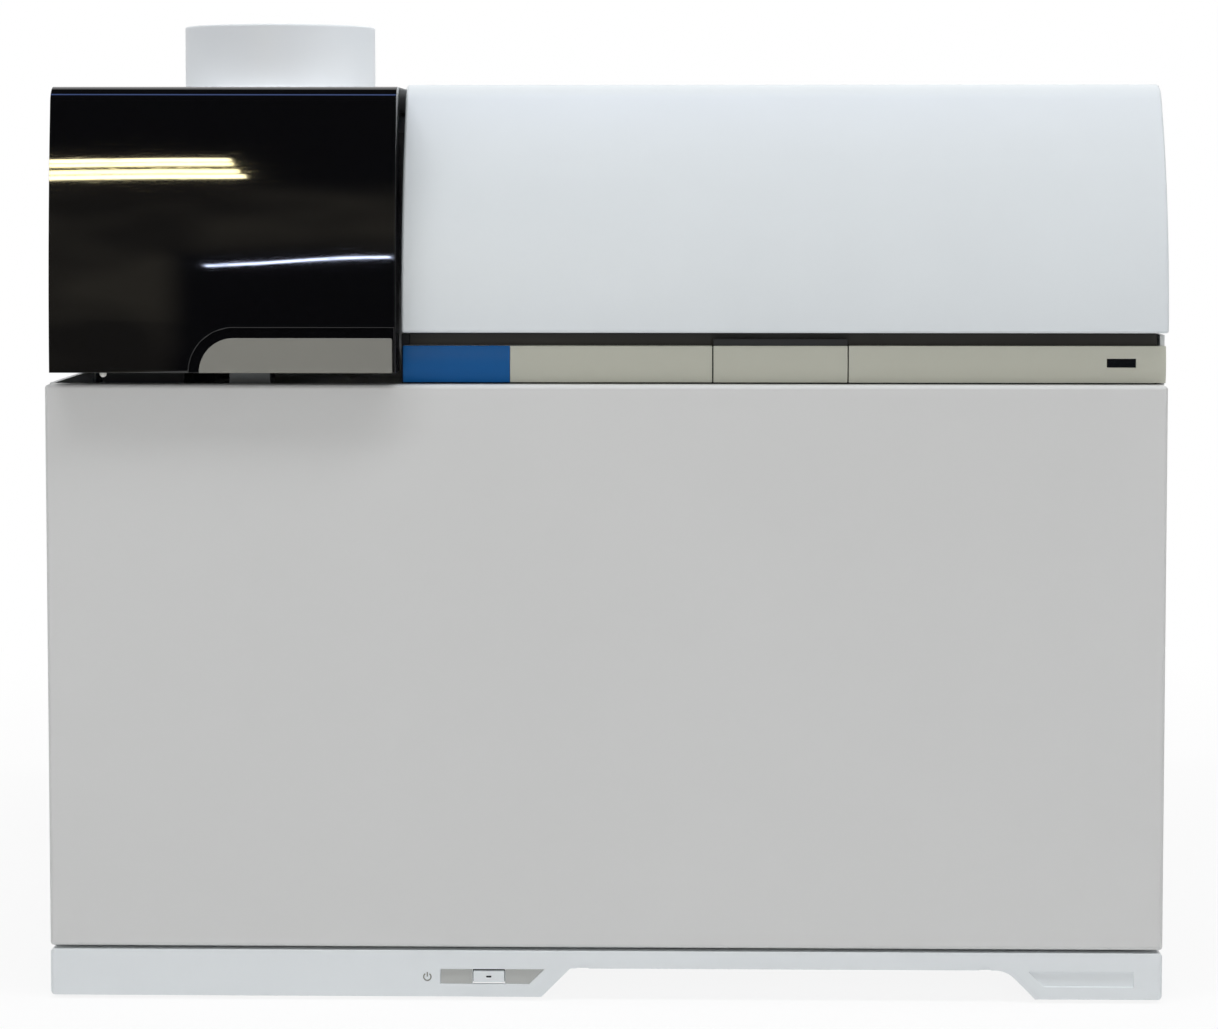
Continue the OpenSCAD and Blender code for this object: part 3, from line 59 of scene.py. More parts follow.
# Points closer than this, in metres, are one point: in the CAD's meshes, and in those made here
CAD_WELD, OWN_WELD = 2e-6, 1e-6
# Faces that turn less than this from one another, in degrees, are one flat face
FLAT_DEG = 0.6
# How far large faces outweigh small ones in a piece's shading
NORMAL_WEIGHT = 60
# The part of 0 to 1 that a noise's value mostly covers
NOISE_LOW, NOISE_HIGH = 0.3, 0.7

# Short names for Blender's types
Tree, Node, Socket, Piece = bpy.types.NodeTree, bpy.types.Node, bpy.types.NodeSocket, bpy.types.Object


# ---- Small tools ---------------------------------------------------------------------------


def linear(hex_colour: str) -> tuple[float, float, float, float]:
    """Turns an sRGB hex colour to linear light.

    Each channel c is c / 12.92 below 0.04045, and ((c + 0.055) / 1.055) to the power 2.4 above.

    Args:
        hex_colour: "#RRGGBB".

    Returns:
        Linear red, green and blue, and an alpha of 1.
    """
    raw = [int(hex_colour[i : i + 2], 16) / 255 for i in (1, 3, 5)]
    rgb = [c / 12.92 if c <= 0.04045 else ((c + 0.055) / 1.055) ** 2.4 for c in raw]
    return rgb[0], rgb[1], rgb[2], 1.0


def per_metre(size_mm: float) -> float:
    """Gives the texture scale whose features are size_mm across, in coordinates in metres."""
    return 1000.0 / size_mm


def add_node(
    tree: Tree, kind: str, inputs: dict[str | int, object] | None = None, **settings: object
) -> Node:
    """Adds one node with its settings, its numbers and its links.

    Args:
        tree: the node tree to add to.
        kind: the node's Blender type name.
        inputs: for each input socket, a number, a vector, a colour, or the output socket to link.
        settings: properties of the node itself.

    Returns:
        The new node.
    """
    node = tree.nodes.new(kind)
    for name, value in settings.items():
        setattr(node, name, value)
    for name, value in (inputs or {}).items():
        if isinstance(value, Socket):
            tree.links.new(value, node.inputs[name])
        else:
            node.inputs[name].default_value = value
    return node


def noise(tree: Tree, place: Socket, size_mm: float, detail: float, roughness: float = 0.5) -> Socket:
    """Adds a soft noise.

    Args:
        tree: the node tree.
        place: its coordinates, in metres.
        size_mm: the size of one patch.
        detail: the number of finer layers in it.
        roughness: how much each finer layer weighs.

    Returns:
        Its value, 0 to 1.
    """
    inputs = {"Vector": place, "Scale": per_metre(size_mm), "Detail": detail, "Roughness": roughness}
    return add_node(tree, "ShaderNodeTexNoise", inputs).outputs["Fac"]


def ranged(
    tree: Tree, value: Socket, source: tuple[float, float], target: tuple[float, float] = (0.0, 1.0),
    blend: str = "LINEAR"
) -> Socket:
    """Maps a value from one range to another, and holds it at the ends.

    Args:
        tree: the node tree.
        value: the value.
        source: where it starts and ends.
        target: what it becomes there.
        blend: the way between them, such as SMOOTHSTEP.

    Returns:
        The mapped value.
    """
    inputs = {"Value": value, "From Min": source[0], "From Max": source[1],
              "To Min": target[0], "To Max": target[1]}
    return add_node(tree, "ShaderNodeMapRange", inputs, interpolation_type=blend).outputs["Result"]


# ---- Finishes ------------------------------------------------------------------------------


@dataclass(frozen=True)
class Finish:
    """A surface finish: a real material and the way its surface was made."""

    name: str
    colour: str
    roughness: float
    metallic: float = 0.0
    ior: float = 1.45

    def material(self) -> bpy.types.Material:
        """Gives this finish's material, built the first time it is asked for.

        Returns:
            The material.
        """
        made = bpy.data.materials.get(self.name)
        if made is None:
            made = bpy.data.materials.new(self.name)
            made.use_nodes = True
            made.diffuse_color = linear(self.colour)
            tree = made.node_tree
            shader = tree.nodes["Principled BSDF"]
            shader.inputs["Base Color"].default_value = linear(self.colour)
            shader.inputs["Roughness"].default_value = self.roughness
            shader.inputs["Metallic"].default_value = self.metallic
            if not self.metallic:
                shader.inputs["IOR"].default_value = self.ior
            place = add_node(tree, "ShaderNodeTexCoord").outputs["Object"]
            self.detail(tree, shader, place)
        return made

    def detail(self, tree: Tree, shader: Node, place: Socket) -> None:
        """Adds the finish's own pattern; the plain finish has none.

        Args:
            tree: the material's tree.
            shader: its Principled shader.
            place: the object coordinates, in metres.
        """

    def mottle(
        self, tree: Tree, shader: Node, place: Socket, size_mm: float, colour_low: str, rough_span: float
    ) -> None:
        """Varies colour and roughness softly over the surface.

        Args:
            tree: the material's tree.
            shader: its Principled shader.
            place: the coordinates of the pattern.
            size_mm: the size of one patch.
            colour_low: the colour at the pattern's darkest.
            rough_span: how much the roughness moves over the pattern.
        """
        patches = noise(tree, place, size_mm, 4.0, 0.6)
        ramp = add_node(tree, "ShaderNodeValToRGB", {"Fac": patches})
        for stop, position, colour in zip(
            ramp.color_ramp.elements, (NOISE_LOW, NOISE_HIGH), (colour_low, self.colour)
        ):
            stop.position, stop.color = position, linear(colour)
        tree.links.new(ramp.outputs["Color"], shader.inputs["Base Color"])
        limits = (self.roughness + rough_span / 2, self.roughness - rough_span / 2)
        tree.links.new(ranged(tree, patches, (NOISE_LOW, NOISE_HIGH), limits), shader.inputs["Roughness"])

    def relief(self, tree: Tree, shader: Node, height: Socket, depth_mm: float, strength: float) -> None:
        """Turns a height pattern to a bump of a real depth.

        Args:
            tree: the material's tree.
            shader: its Principled shader.
            height: the pattern, 0 to 1.
            depth_mm: the height of 1 in the pattern.
            strength: the share of it that shows.
        """
        bump = add_node(
            tree, "ShaderNodeBump", {"Height": height, "Distance": depth_mm * MM, "Strength": strength}
        )
        tree.links.new(bump.outputs["Normal"], shader.inputs["Normal"])


@dataclass(frozen=True)
class Moulding(Finish):
    """Injection-moulded plastic with a spark-eroded skin: an even, fine grain that breaks highlights.

    The grain is drawn coarser than the real 0.1 to 0.3 mm, so that it doesn't flicker at a distance.
    """

    grain_mm: float = 0.9
    grain_depth_mm: float = 0.02
    patch: str = "#E6E9EB"
    patch_mm: float = 140.0
    rough_span: float = 0.05

    def detail(self, tree: Tree, shader: Node, place: Socket) -> None:
        """Adds broad, faint patches and the fine grain.

        Args:
            tree: the material's tree.
            shader: its Principled shader.
            place: the object coordinates, in metres.
        """
        self.mottle(tree, shader, place, self.patch_mm, self.patch, self.rough_span)
        self.relief(tree, shader, noise(tree, place, self.grain_mm, 2.0), self.grain_depth_mm, 0.5)


@dataclass(frozen=True)
class GlossMoulding(Finish):
    """High-gloss moulding under clear lacquer: mirror reflections with a slight wave and faint hairlines.

    The hairlines are drawn about ten times as wide as real wipe marks.
    """

    wave_mm: float = 60.0
    wave_depth_mm: float = 0.12
    hairline_mm: float = 1.2
    hairline_ratio: float = 14.0
    hairline_tilt: float = 0.35
    hairline_rough: float = 0.05

    def detail(self, tree: Tree, shader: Node, place: Socket) -> None:
        """Adds the moulding's slow wave and hairline wipe marks in the lacquer's roughness.

        Args:
            tree: the material's tree.
            shader: its Principled shader.
            place: the object coordinates, in metres.
        """
        shader.inputs["Coat Weight"].default_value = 0.3
        shader.inputs["Coat Roughness"].default_value = 0.03
        stretched = add_node(
            tree, "ShaderNodeMapping",
            {"Vector": place, "Rotation": (0.0, self.hairline_tilt, 0.0),
             "Scale": (1.0, 1.0, self.hairline_ratio)},
        )
        hair = noise(tree, stretched.outputs["Vector"], self.hairline_mm * self.hairline_ratio, 3.0, 0.7)
        limits = (self.roughness, self.roughness + self.hairline_rough)
        tree.links.new(ranged(tree, hair, (0.55, 0.8), limits), shader.inputs["Roughness"])
        self.relief(tree, shader, noise(tree, place, self.wave_mm, 0.0), self.wave_depth_mm, 0.6)


@dataclass(frozen=True)
class PowderCoat(Finish):
    """Powder-coated sheet: an orange-peel skin with a soft, even sheen."""

    peel_mm: float = 1.6
    peel_depth_mm: float = 0.03
    patch: str = "#D6D6D5"
    patch_mm: float = 220.0
    rough_span: float = 0.06

    def detail(self, tree: Tree, shader: Node, place: Socket) -> None:
        """Adds faint patches and the orange peel.

        Args:
            tree: the material's tree.
            shader: its Principled shader.
            place: the object coordinates, in metres.
        """
        self.mottle(tree, shader, place, self.patch_mm, self.patch, self.rough_span)
        peel = add_node(
            tree, "ShaderNodeTexVoronoi",
            {"Vector": place, "Scale": per_metre(self.peel_mm), "Smoothness": 1.0},
            feature="SMOOTH_F1",
        )
        self.relief(tree, shader, peel.outputs["Distance"], self.peel_depth_mm, 0.35)


@dataclass(frozen=True)
class BrushedMetal(Finish):
    """Brushed or turned metal: fine lines along one axis, which stretch its highlights.

    The lines are drawn about ten times as wide as a real brush leaves them.
    """

    line_mm: float = 0.7
    along: tuple[float, float, float] = (0.03, 1.0, 1.0)
    patch: str = "#A8AAAC"
    patch_mm: float = 60.0
    rough_span: float = 0.1
    line_depth_mm: float = 0.01

    def detail(self, tree: Tree, shader: Node, place: Socket) -> None:
        """Adds lines drawn out along one axis, and broad patches of wear.

        Args:
            tree: the material's tree.
            shader: its Principled shader.
            place: the object coordinates, in metres.
        """
        self.mottle(tree, shader, place, self.patch_mm, self.patch, self.rough_span)
        drawn = add_node(tree, "ShaderNodeMapping", {"Vector": place, "Scale": self.along})
        lines = noise(tree, drawn.outputs["Vector"], self.line_mm, 2.0)
        self.relief(tree, shader, lines, self.line_depth_mm, 0.5)


@dataclass(frozen=True)
class ZincSheet(Finish):
    """Hot-dipped zinc-coated steel: crystal spangles that differ in shade and gloss."""

    spangle_mm: float = 9.0
    dark: str = "#9DA1A4"
    rough_less: float = 0.08
    rough_more: float = 0.12

    def detail(self, tree: Tree, shader: Node, place: Socket) -> None:
        """Adds cells of spangle with their own shade and roughness.

        Args:
            tree: the material's tree.
            shader: its Principled shader.
            place: the object coordinates, in metres.
        """
        cells = add_node(
            tree, "ShaderNodeTexVoronoi",
            {"Vector": place, "Scale": per_metre(self.spangle_mm), "Randomness": 1.0},
        )
        shade = add_node(tree, "ShaderNodeSeparateColor", {"Color": cells.outputs["Color"]})
        ramp = add_node(tree, "ShaderNodeValToRGB", {"Fac": shade.outputs["Red"]})
        ramp.color_ramp.elements[0].color = linear(self.dark)
        ramp.color_ramp.elements[1].color = linear(self.colour)
        tree.links.new(ramp.outputs["Color"], shader.inputs["Base Color"])
        limits = (self.roughness - self.rough_less, self.roughness + self.rough_more)
        tree.links.new(ranged(tree, shade.outputs["Green"], (0.0, 1.0), limits), shader.inputs["Roughness"])


@dataclass(frozen=True)
class ClearGlass(Finish):
    """Clear or tinted glass: light passes through it, with a faint ripple in its surface."""

    through: float = 1.0
    ripple_mm: float = 25.0
    ripple_depth_mm: float = 0.05

    def detail(self, tree: Tree, shader: Node, place: Socket) -> None:
        """Lets light through and adds the ripple of drawn glass.

        Args:
            tree: the material's tree.
            shader: its Principled shader.
            place: the object coordinates, in metres.
        """
        shader.inputs["Transmission Weight"].default_value = self.through
        self.relief(tree, shader, noise(tree, place, self.ripple_mm, 1.0), self.ripple_depth_mm, 0.4)


@dataclass(frozen=True)
class CircuitBoard(Finish):
    """Fibreglass board under green solder resist, with copper tracks that show as lighter lines.

    The tracks are drawn about ten times as far apart as real ones.
    """

    track_mm: float = 5.0
    track_run: float = 5.0
    copper_share: float = 0.12
    copper_mm: float = 0.05
    resist_dark: str = "#1C4F2E"
    copper_seen: str = "#4E8A55"

    def detail(self, tree: Tree, shader: Node, place: Socket) -> None:
        """Adds a grid of tracks and pads.

        Args:
            tree: the material's tree.
            shader: its Principled shader.
            place: the object coordinates, in metres.
        """
        turned = add_node(
            tree, "ShaderNodeMapping", {"Vector": place, "Rotation": (0.0, math.pi / 2, 0.0)}
        )
        tracks = add_node(
            tree, "ShaderNodeTexBrick",
            {"Vector": turned.outputs["Vector"], "Scale": 1.0,
             "Brick Width": self.track_mm * self.track_run * MM, "Row Height": self.track_mm * MM,
             "Mortar Size": self.track_mm * self.copper_share * MM,
             "Color1": linear(self.colour), "Color2": linear(self.resist_dark),
             "Mortar": linear(self.copper_seen)},
        )
        tree.links.new(tracks.outputs["Color"], shader.inputs["Base Color"])
        self.relief(tree, shader, tracks.outputs["Fac"], self.copper_mm, 0.5)


class Palette(Enum):
    """The finishes of the instrument, by the record's material slots."""

    # Painted moulding: near-white, soft sheen, the faintest grain
    COVER_WHITE = Moulding("painted_moulding_white", "#E5EAED", 0.38, ior=1.47, patch="#E2E7EA")
    # Rolled and painted sheet of the exhaust collar, slightly cooler
    COLLAR_WHITE = PowderCoat("painted_sheet_cool_white", "#F0F3F6", 0.42, patch="#ECF0F4", peel_mm=1.3)
    # Powder-coated steel front, light grey
    PANEL_GREY = PowderCoat("powder_coat_light_grey", "#DBDBDA", 0.5, patch="#D9D9D8")
    # Moulded base trim, a shade lighter and cooler than the front
    TRIM_GREY = Moulding("moulded_trim_light_grey", "#ECF0F2", 0.45, patch="#E8ECEE", grain_mm=1.1)
    # Powder-coated case sheets at the sides and back: near-white with an orange peel
    CASE_PAINT = PowderCoat("powder_coat_case_white", "#E2E4E4", 0.48, patch="#DDDFDF")
    # Lacquered black moulding, mirror gloss
    HOOD_BLACK = GlossMoulding("lacquered_moulding_black", "#0B0B0D", 0.02, ior=1.46)
    # Satin metallic paint on the grip: warm mid grey, soft sheen; the mid grey is partly painted shade from
    # the hood's lip over the recessed grip
    GRIP_GREY = Moulding("satin_paint_warm_grey", "#85847D", 0.42, patch="#807F79", grain_mm=0.8)
    # Satin moulding of the strip: warm pale grey, duller than the covers; its warm tint, and its being darker
    # than the front, are painted shade from the cover above it
    STRIP_SHADED_GREIGE = Moulding("satin_moulding_greige", "#CFCFC1", 0.4, patch="#CBCBBD", grain_mm=0.8)
    # Screen-printed film over polycarbonate, deep blue
    PLATE_BLUE = Moulding("printed_film_blue", "#0060A6", 0.35, ior=1.3, patch="#005B9E", grain_mm=0.7)
    # Smoked acrylic of the status window: black, with clean reflections
    WINDOW_BLACK = GlossMoulding("smoked_acrylic", "#15171B", 0.08, ior=1.49)
    # Powder-coated sheet behind the strip, seen in the gap under the cover: its charcoal is painted shade,
    # and reads as one dark line with no shine
    RAIL_SHADE_DARK = PowderCoat("powder_coat_charcoal", "#2F2D2A", 0.55, patch="#292724")
    # Zinc-coated sheet of the chassis: flat crystals that glint apart
    ZINC_SHEET = ZincSheet("zinc_coated_sheet", "#C3C6C8", 0.38, metallic=1.0)
    # Brushed stainless of rods and hinges: bright, with stretched highlights
    STAINLESS = BrushedMetal("brushed_stainless", "#C4C5C6", 0.28, metallic=1.0, patch="#B6B7B8")
    # Milled aluminium, bead-blasted: pale and evenly matt
    ALLOY = BrushedMetal("bead_blasted_aluminium", "#C9CBCC", 0.42, metallic=1.0, patch="#BCBEC0",
                         line_mm=0.9, along=(1.0, 1.0, 1.0))
    # Cast and ribbed aluminium of pumps and power units: darker, coarse and dull
    ALLOY_DARK = BrushedMetal("cast_aluminium_grey", "#8E9193", 0.5, metallic=1.0, patch="#7F8284",
                              line_mm=2.2, along=(1.0, 1.0, 1.0), line_depth_mm=0.06)
    # Drawn copper tube and block: warm and bright, slightly tarnished in patches
    COPPER = BrushedMetal("drawn_copper", "#C07A55", 0.3, metallic=1.0, patch="#A9653F", line_mm=0.8)
    # Nickel-plated cones: a slightly warm metal, close to a mirror
    NICKEL = BrushedMetal("nickel_plate", "#CFCBC2", 0.2, metallic=1.0, patch="#C2BDB2", line_mm=0.6)
    # Turned brass fittings: yellow metal with fine turning lines
    BRASS = BrushedMetal("turned_brass", "#C9A85C", 0.28, metallic=1.0, patch="#B8964A", line_mm=0.6)
    # Fused quartz of the torch: clear, with a faint ripple in what is seen through it
    QUARTZ = ClearGlass("fused_quartz", "#F4F7F8", 0.03, ior=1.46)
    # Welding-tint glass in the torch door: dark green, and still see-through
    DARK_GLASS = ClearGlass("green_filter_glass", "#2A3A30", 0.05, ior=1.52, through=0.75)
    # Machined fluoropolymer and acetal: milky white with a waxy sheen
    POLYMER_WHITE = Moulding("machined_acetal_white", "#E7E6E0", 0.4, patch="#DFDED7", grain_mm=1.2)
    # Glass-filled nylon: dark, even and satin
    POLYMER_BLACK = Moulding("glass_filled_nylon_black", "#232427", 0.5, patch="#1D1E21", grain_mm=1.0)
    # Circuit board: satin green solder resist with paler tracks
    BOARD_GREEN = CircuitBoard("circuit_board_green", "#1F5C36", 0.35)
    # Rubber of the feet and of the strip's end seal: dull and nearly black
    RUBBER = Moulding("moulded_rubber", "#2A2A2B", 0.75, patch="#242425", grain_mm=1.5, grain_depth_mm=0.05)


def dress(piece: Piece, finish: Palette) -> None:
    """Gives a piece one finish.

    Args:
        piece: the piece.
        finish: its finish.
    """
    piece.data.materials.clear()
    piece.data.materials.append(finish.value.material())


# ---- Meshes --------------------------------------------------------------------------------


def object_from(name: str, points: np.ndarray, faces: list[list[int]]) -> Piece:
    """Makes an object from points and faces.

    Args:
        name: the object's name.
        points: the points, in metres, in any grid.
        faces: the faces, as lists of point numbers.

    Returns:
        The object.
    """
    mesh = bpy.data.meshes.new(name)
    mesh.from_pydata(points.reshape(-1, 3).tolist(), [], faces)
    mesh.validate()
    piece = bpy.data.objects.new(name, mesh)
    bpy.context.scene.collection.objects.link(piece)
    return piece


def sheet(name: str, width: float, depth: float, centre: Vector, upright: bool = False) -> Piece:
    """Makes a flat sheet, in metres.

    Args:
        name: the sheet's name.
        width: its width along X.
        depth: its depth along Y, or its height where it is upright.
        centre: its middle.
        upright: whether it stands and faces the back.

    Returns:
        The sheet.
    """
    across = np.array([-0.5, 0.5, 0.5, -0.5]) * width
    along = np.array([-0.5, -0.5, 0.5, 0.5]) * depth
    flat = np.zeros(4)
    points = np.stack([across, flat, along] if upright else [across, along, flat], axis=-1) + np.array(centre)
    return object_from(name, points, [[3, 2, 1, 0] if upright else [0, 1, 2, 3]])


def tube_faces(rows: int, cols: int, joined: bool = False) -> list[list[int]]:
    """Lists the four-sided faces of a tube of points, which runs from row to row.

    Args:
        rows: the number of rows of points.
        cols: the number of points round a row.
        joined: whether the last row joins the first.

    Returns:
        The faces, as lists of point numbers.
    """
    row, col = np.meshgrid(np.arange(rows if joined else rows - 1), np.arange(cols), indexing="ij")
    down, right = (row + 1) % rows, (col + 1) % cols
    quads = np.stack([row * cols + col, row * cols + right, down * cols + right, down * cols + col], axis=-1)
    return quads.reshape(-1, 4).tolist()


def closed_faces(rows: int, cols: int) -> list[list[int]]:
    """Lists the faces of a tube of points, with one face over each end.

    Args:
        rows: the number of rows of points.
        cols: the number of points round a row.

    Returns:
        The faces, as lists of point numbers.
    """
    last = (rows - 1) * cols
    return tube_faces(rows, cols) + [list(range(cols)), list(range(last, last + cols))]


def rectangle(y0: float, y1: float, z0: float, z1: float) -> np.ndarray:
    """Gives a rectangle as a side outline, from its limits in metres."""
    return np.array([[y0, z0], [y0, z1], [y1, z1], [y1, z0]])


def smooth(piece: Piece, angle: float = 35.0) -> Piece:
    """Shades a piece smooth except over its sharp edges.

    Args:
        piece: the piece.
        angle: the least turn of a sharp edge, in degrees.

    Returns:
        The piece.
    """
    mesh = piece.data
    mesh.shade_smooth()
    mesh.set_sharp_from_angle(angle=math.radians(angle))
    return piece


def recalculated(piece: Piece) -> Piece:
    """Merges a mesh's doubles and turns its faces outwards.

    Args:
        piece: the piece.

    Returns:
        The piece.
    """
    mesh = piece.data
    work = bmesh.new()
    work.from_mesh(mesh)
    bmesh.ops.remove_doubles(work, verts=work.verts, dist=OWN_WELD)
    bmesh.ops.recalc_face_normals(work, faces=work.faces)
    work.to_mesh(mesh)
    work.free()
    return piece


def revolved(name: str, profile_mm: Sequence[tuple[float, float]], centre: Vector, steps: int) -> Piece:
    """Turns a closed profile about an upright axis.

    A point of the surface is the centre plus (r cos a, r sin a, h): (r, h) goes once round the profile,
    and a goes once round the axis.

    Args:
        name: the piece's name.
        profile_mm: the closed profile, as radius and height.
        centre: the point that heights start from, in metres.
        steps: the number of columns in a turn.

    Returns:
        The object.
    """
    profile = np.asarray(profile_mm, float) * MM
    turn = np.linspace(0.0, 2 * np.pi, steps, endpoint=False)
    radius, height = profile[:, :1], np.repeat(profile[:, 1:], steps, axis=1)
    points = np.stack([radius * np.cos(turn), radius * np.sin(turn), height], axis=-1) + np.array(centre)
    return smooth(recalculated(object_from(name, points, tube_faces(len(profile), steps, joined=True))))


def carried(name: str, outline: np.ndarray, start: float, end: float) -> Piece:
    """Carries a closed side outline across the instrument, and closes both ends.

    A point of the surface is (x, y(v), z(v)): x goes evenly from start to end, and (y, z)(v) goes once
    round the outline.

    Args:
        name: the piece's name.
        outline: the outline's points as (y, z), in metres.
        start: the left end, in metres.
        end: the right end.

    Returns:
        The object.
    """
    count = len(outline)
    points = np.column_stack([np.repeat([start, end], count), np.tile(outline, (2, 1))])
    return recalculated(object_from(name, points, closed_faces(2, count)))


def ease(piece: Piece, edge_mm: float, segments: int = 3, angle: float = 40.0) -> Piece:
    """Eases a piece's sharp edges and evens its shading.

    Args:
        piece: the piece.
        edge_mm: the width of the eased edges; 0 leaves the faces and edges as they are.
        segments: the steps across an eased edge.
        angle: the least turn of an edge that is eased, in degrees.

    Returns:
        The piece.
    """
    if edge_mm > 0:
        bevel = piece.modifiers.new("eased_edges", "BEVEL")
        bevel.width = edge_mm * MM
        bevel.segments = segments
        bevel.limit_method = "ANGLE"
        bevel.angle_limit = math.radians(angle)
        bevel.use_clamp_overlap = True
        bevel.loop_slide = False
        whole = piece.modifiers.new("triangles", "TRIANGULATE")
        whole.ngon_method = "CLIP"
        whole.quad_method = "FIXED"
    smooth(piece, angle)
    weigh = piece.modifiers.new("even_shading", "WEIGHTED_NORMAL")
    weigh.keep_sharp = True
    weigh.weight = NORMAL_WEIGHT
    return piece


def rounded_copy(
    node: str, body: str, finish: Palette, edge_mm: float = 0.6, segments: int = 2, angle: float = 30.0
) -> Piece:
    """Replaces a CAD node by a copy with merged points and, where its edges are eased, whole flat faces.

    Args:
        node: the CAD node.
        body: the body that it rides on.
        finish: its finish.
        edge_mm: the width of the eased edges; 0 leaves the node's faces and edges as they are.
        segments: the steps across an eased edge.
        angle: the least turn of an edge that is eased, in degrees.

    Returns:
        The copy.
    """
    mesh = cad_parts[node].data.copy()
    mesh.name = f"{node}.eased"
    work = bmesh.new()
    work.from_mesh(mesh)
    bmesh.ops.remove_doubles(work, verts=work.verts, dist=CAD_WELD)
    if edge_mm > 0:
        bmesh.ops.dissolve_limit(
            work, angle_limit=math.radians(FLAT_DEG), verts=work.verts, edges=work.edges, delimit={"NORMAL"}
        )
    work.to_mesh(mesh)
    work.free()
    piece = bpy.data.objects.new(f"{node}.eased", mesh)
    bpy.context.scene.collection.objects.link(piece)
    dress(ease(piece, edge_mm, segments, angle), finish)
    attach(piece, body)
    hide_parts(node)
    return piece


# ---- Sub-assemblies ------------------------------------------------------------------------


class SubAssembly(Protocol):
    """What every sub-assembly can do."""

    def build(self) -> list[Piece]:
        """Makes, dresses and returns the sub-assembly's pieces."""


@dataclass
class EasedGroup:
    """A group of CAD nodes that keep their shapes: for each, its finish and its eased edges' width in mm."""

    title: str
    body: str
    parts: dict[str, tuple[Palette, float]]

    def build(self) -> list[Piece]:
        """Makes each node's eased copy."""
        LOG.info("-- %s", self.title)
        return [rounded_copy(node, self.body, finish, edge) for node, (finish, edge) in self.parts.items()]


@dataclass
class ExhaustCollar:
    """The rolled collar on the roof, with its flange and a turned bead at its rim."""

    node: str = "exhaust_collar"
    flange_mm: float = 7.0
    flange_t_mm: float = 2.0
    flange_edge_mm: float = 0.5
    root_mm: float = 2.0
    root_sag_mm: float = 0.6
    wall_mm: float = 2.0
    bead_mm: float = 1.6
    bead_steps: int = 9
    reach_mm: float = 12.0
    turn_steps: int = 160

    def build(self) -> list[Piece]:
        """Makes the collar as one turned profile.

        Returns:
            The collar.
        """
        low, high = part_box(self.node)
        centre = Vector(((low.x + high.x) / 2, (low.y + high.y) / 2, 0.0))
        outer = (high.x - low.x) / 2 / MM - self.flange_mm
        flange = outer + self.flange_mm
        top, bottom = high.z / MM, low.z / MM
        roof = bottom + self.reach_mm + self.flange_t_mm
        face = roof + self.flange_t_mm
        half = self.wall_mm / 2
        rim = [
            (outer - half + half * math.cos(a), top - self.bead_mm + self.bead_mm * math.sin(a))
            for a in np.linspace(0.0, np.pi, self.bead_steps)
        ]
        profile = [
            (outer - self.wall_mm, bottom), (outer, bottom), (outer, roof), (flange, roof),
            (flange, face - self.flange_edge_mm), (flange - self.flange_edge_mm, face),
            (outer + self.root_mm, face), (outer + self.root_sag_mm, face + self.root_sag_mm),
            (outer, face + self.root_mm), *rim,
        ]
        piece = revolved("exhaust_collar.turned", profile, centre, steps=self.turn_steps)
        dress(piece, Palette.COLLAR_WHITE)
        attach(piece, "chassis")
        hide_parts(self.node)
        return [piece]


@dataclass
class LatchBar:
    """The middle bar of the strip, which presses in, and the finger plate over it, black as painted shade in
    the gap under the cover.
    """

    node: str = "cover_latch"
    neighbour: str = "name_strip"
    bulge_mm: float = 1.5
    bulge_steps: int = 17
    bar_t_mm: float = 4.7
    bar_edge_mm: float = 0.4
    lip_set_mm: float = 3.0
    lip_t_mm: float = 1.7
    lip_edge_mm: float = 0.3
    overlap_mm: float = 1.0
    plunger_in_mm: float = 20.0
    plunger_down_mm: float = 6.0

    def build(self) -> list[Piece]:
        """Makes the bar, its finger plate and its plunger.

        Returns:
            The pieces.
        """
        low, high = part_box(self.node)
        near_low, near_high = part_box(self.neighbour)
        front, bottom, top = near_low.y, near_low.z, near_high.z
        lip, inset, down = (size * MM for size in (self.lip_set_mm, self.plunger_in_mm, self.plunger_down_mm))
        bar = carried("latch_bar.face", self.section(front, bottom, top), low.x, high.x)
        back_of_lip = front + (self.lip_set_mm + self.lip_t_mm) * MM
        plate = carried(
            "latch_bar.finger_plate", rectangle(front + lip, back_of_lip, top - self.overlap_mm * MM, high.z),
            low.x, high.x,
        )
        plunger = carried(
            "latch_bar.plunger",
            rectangle(front + (self.bar_t_mm - self.overlap_mm) * MM, high.y, bottom + down, top - down),
            low.x + inset, high.x - inset,
        )
        dress(ease(bar, self.bar_edge_mm), Palette.STRIP_SHADED_GREIGE)
        # The finger plate is black as painted shade, so that the gap under the cover reads dark; the plunger
        # takes the same black nylon
        for black in (plate, plunger):
            dress(ease(black, self.lip_edge_mm), Palette.POLYMER_BLACK)
        made = [bar, plate, plunger]
        for piece in made:
            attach(piece, "latch_bar")
        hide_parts(self.node)
        return made

    def section(self, front: float, bottom: float, top: float) -> np.ndarray:
        """Gives the bar's side outline: y = front + bulge u * u in front, for u from -1 to 1, flat behind.

        Args:
            front: the least y of the bar's face, in metres.
            bottom: its least z.
            top: its greatest z.

        Returns:
            The outline's points as (y, z).
        """
        u = np.linspace(-1.0, 1.0, self.bulge_steps)
        face = np.column_stack([front + self.bulge_mm * MM * u * u, bottom + (top - bottom) * (u + 1) / 2])
        back = front + self.bar_t_mm * MM
        return np.vstack([face, [[back, top], [back, bottom]]])


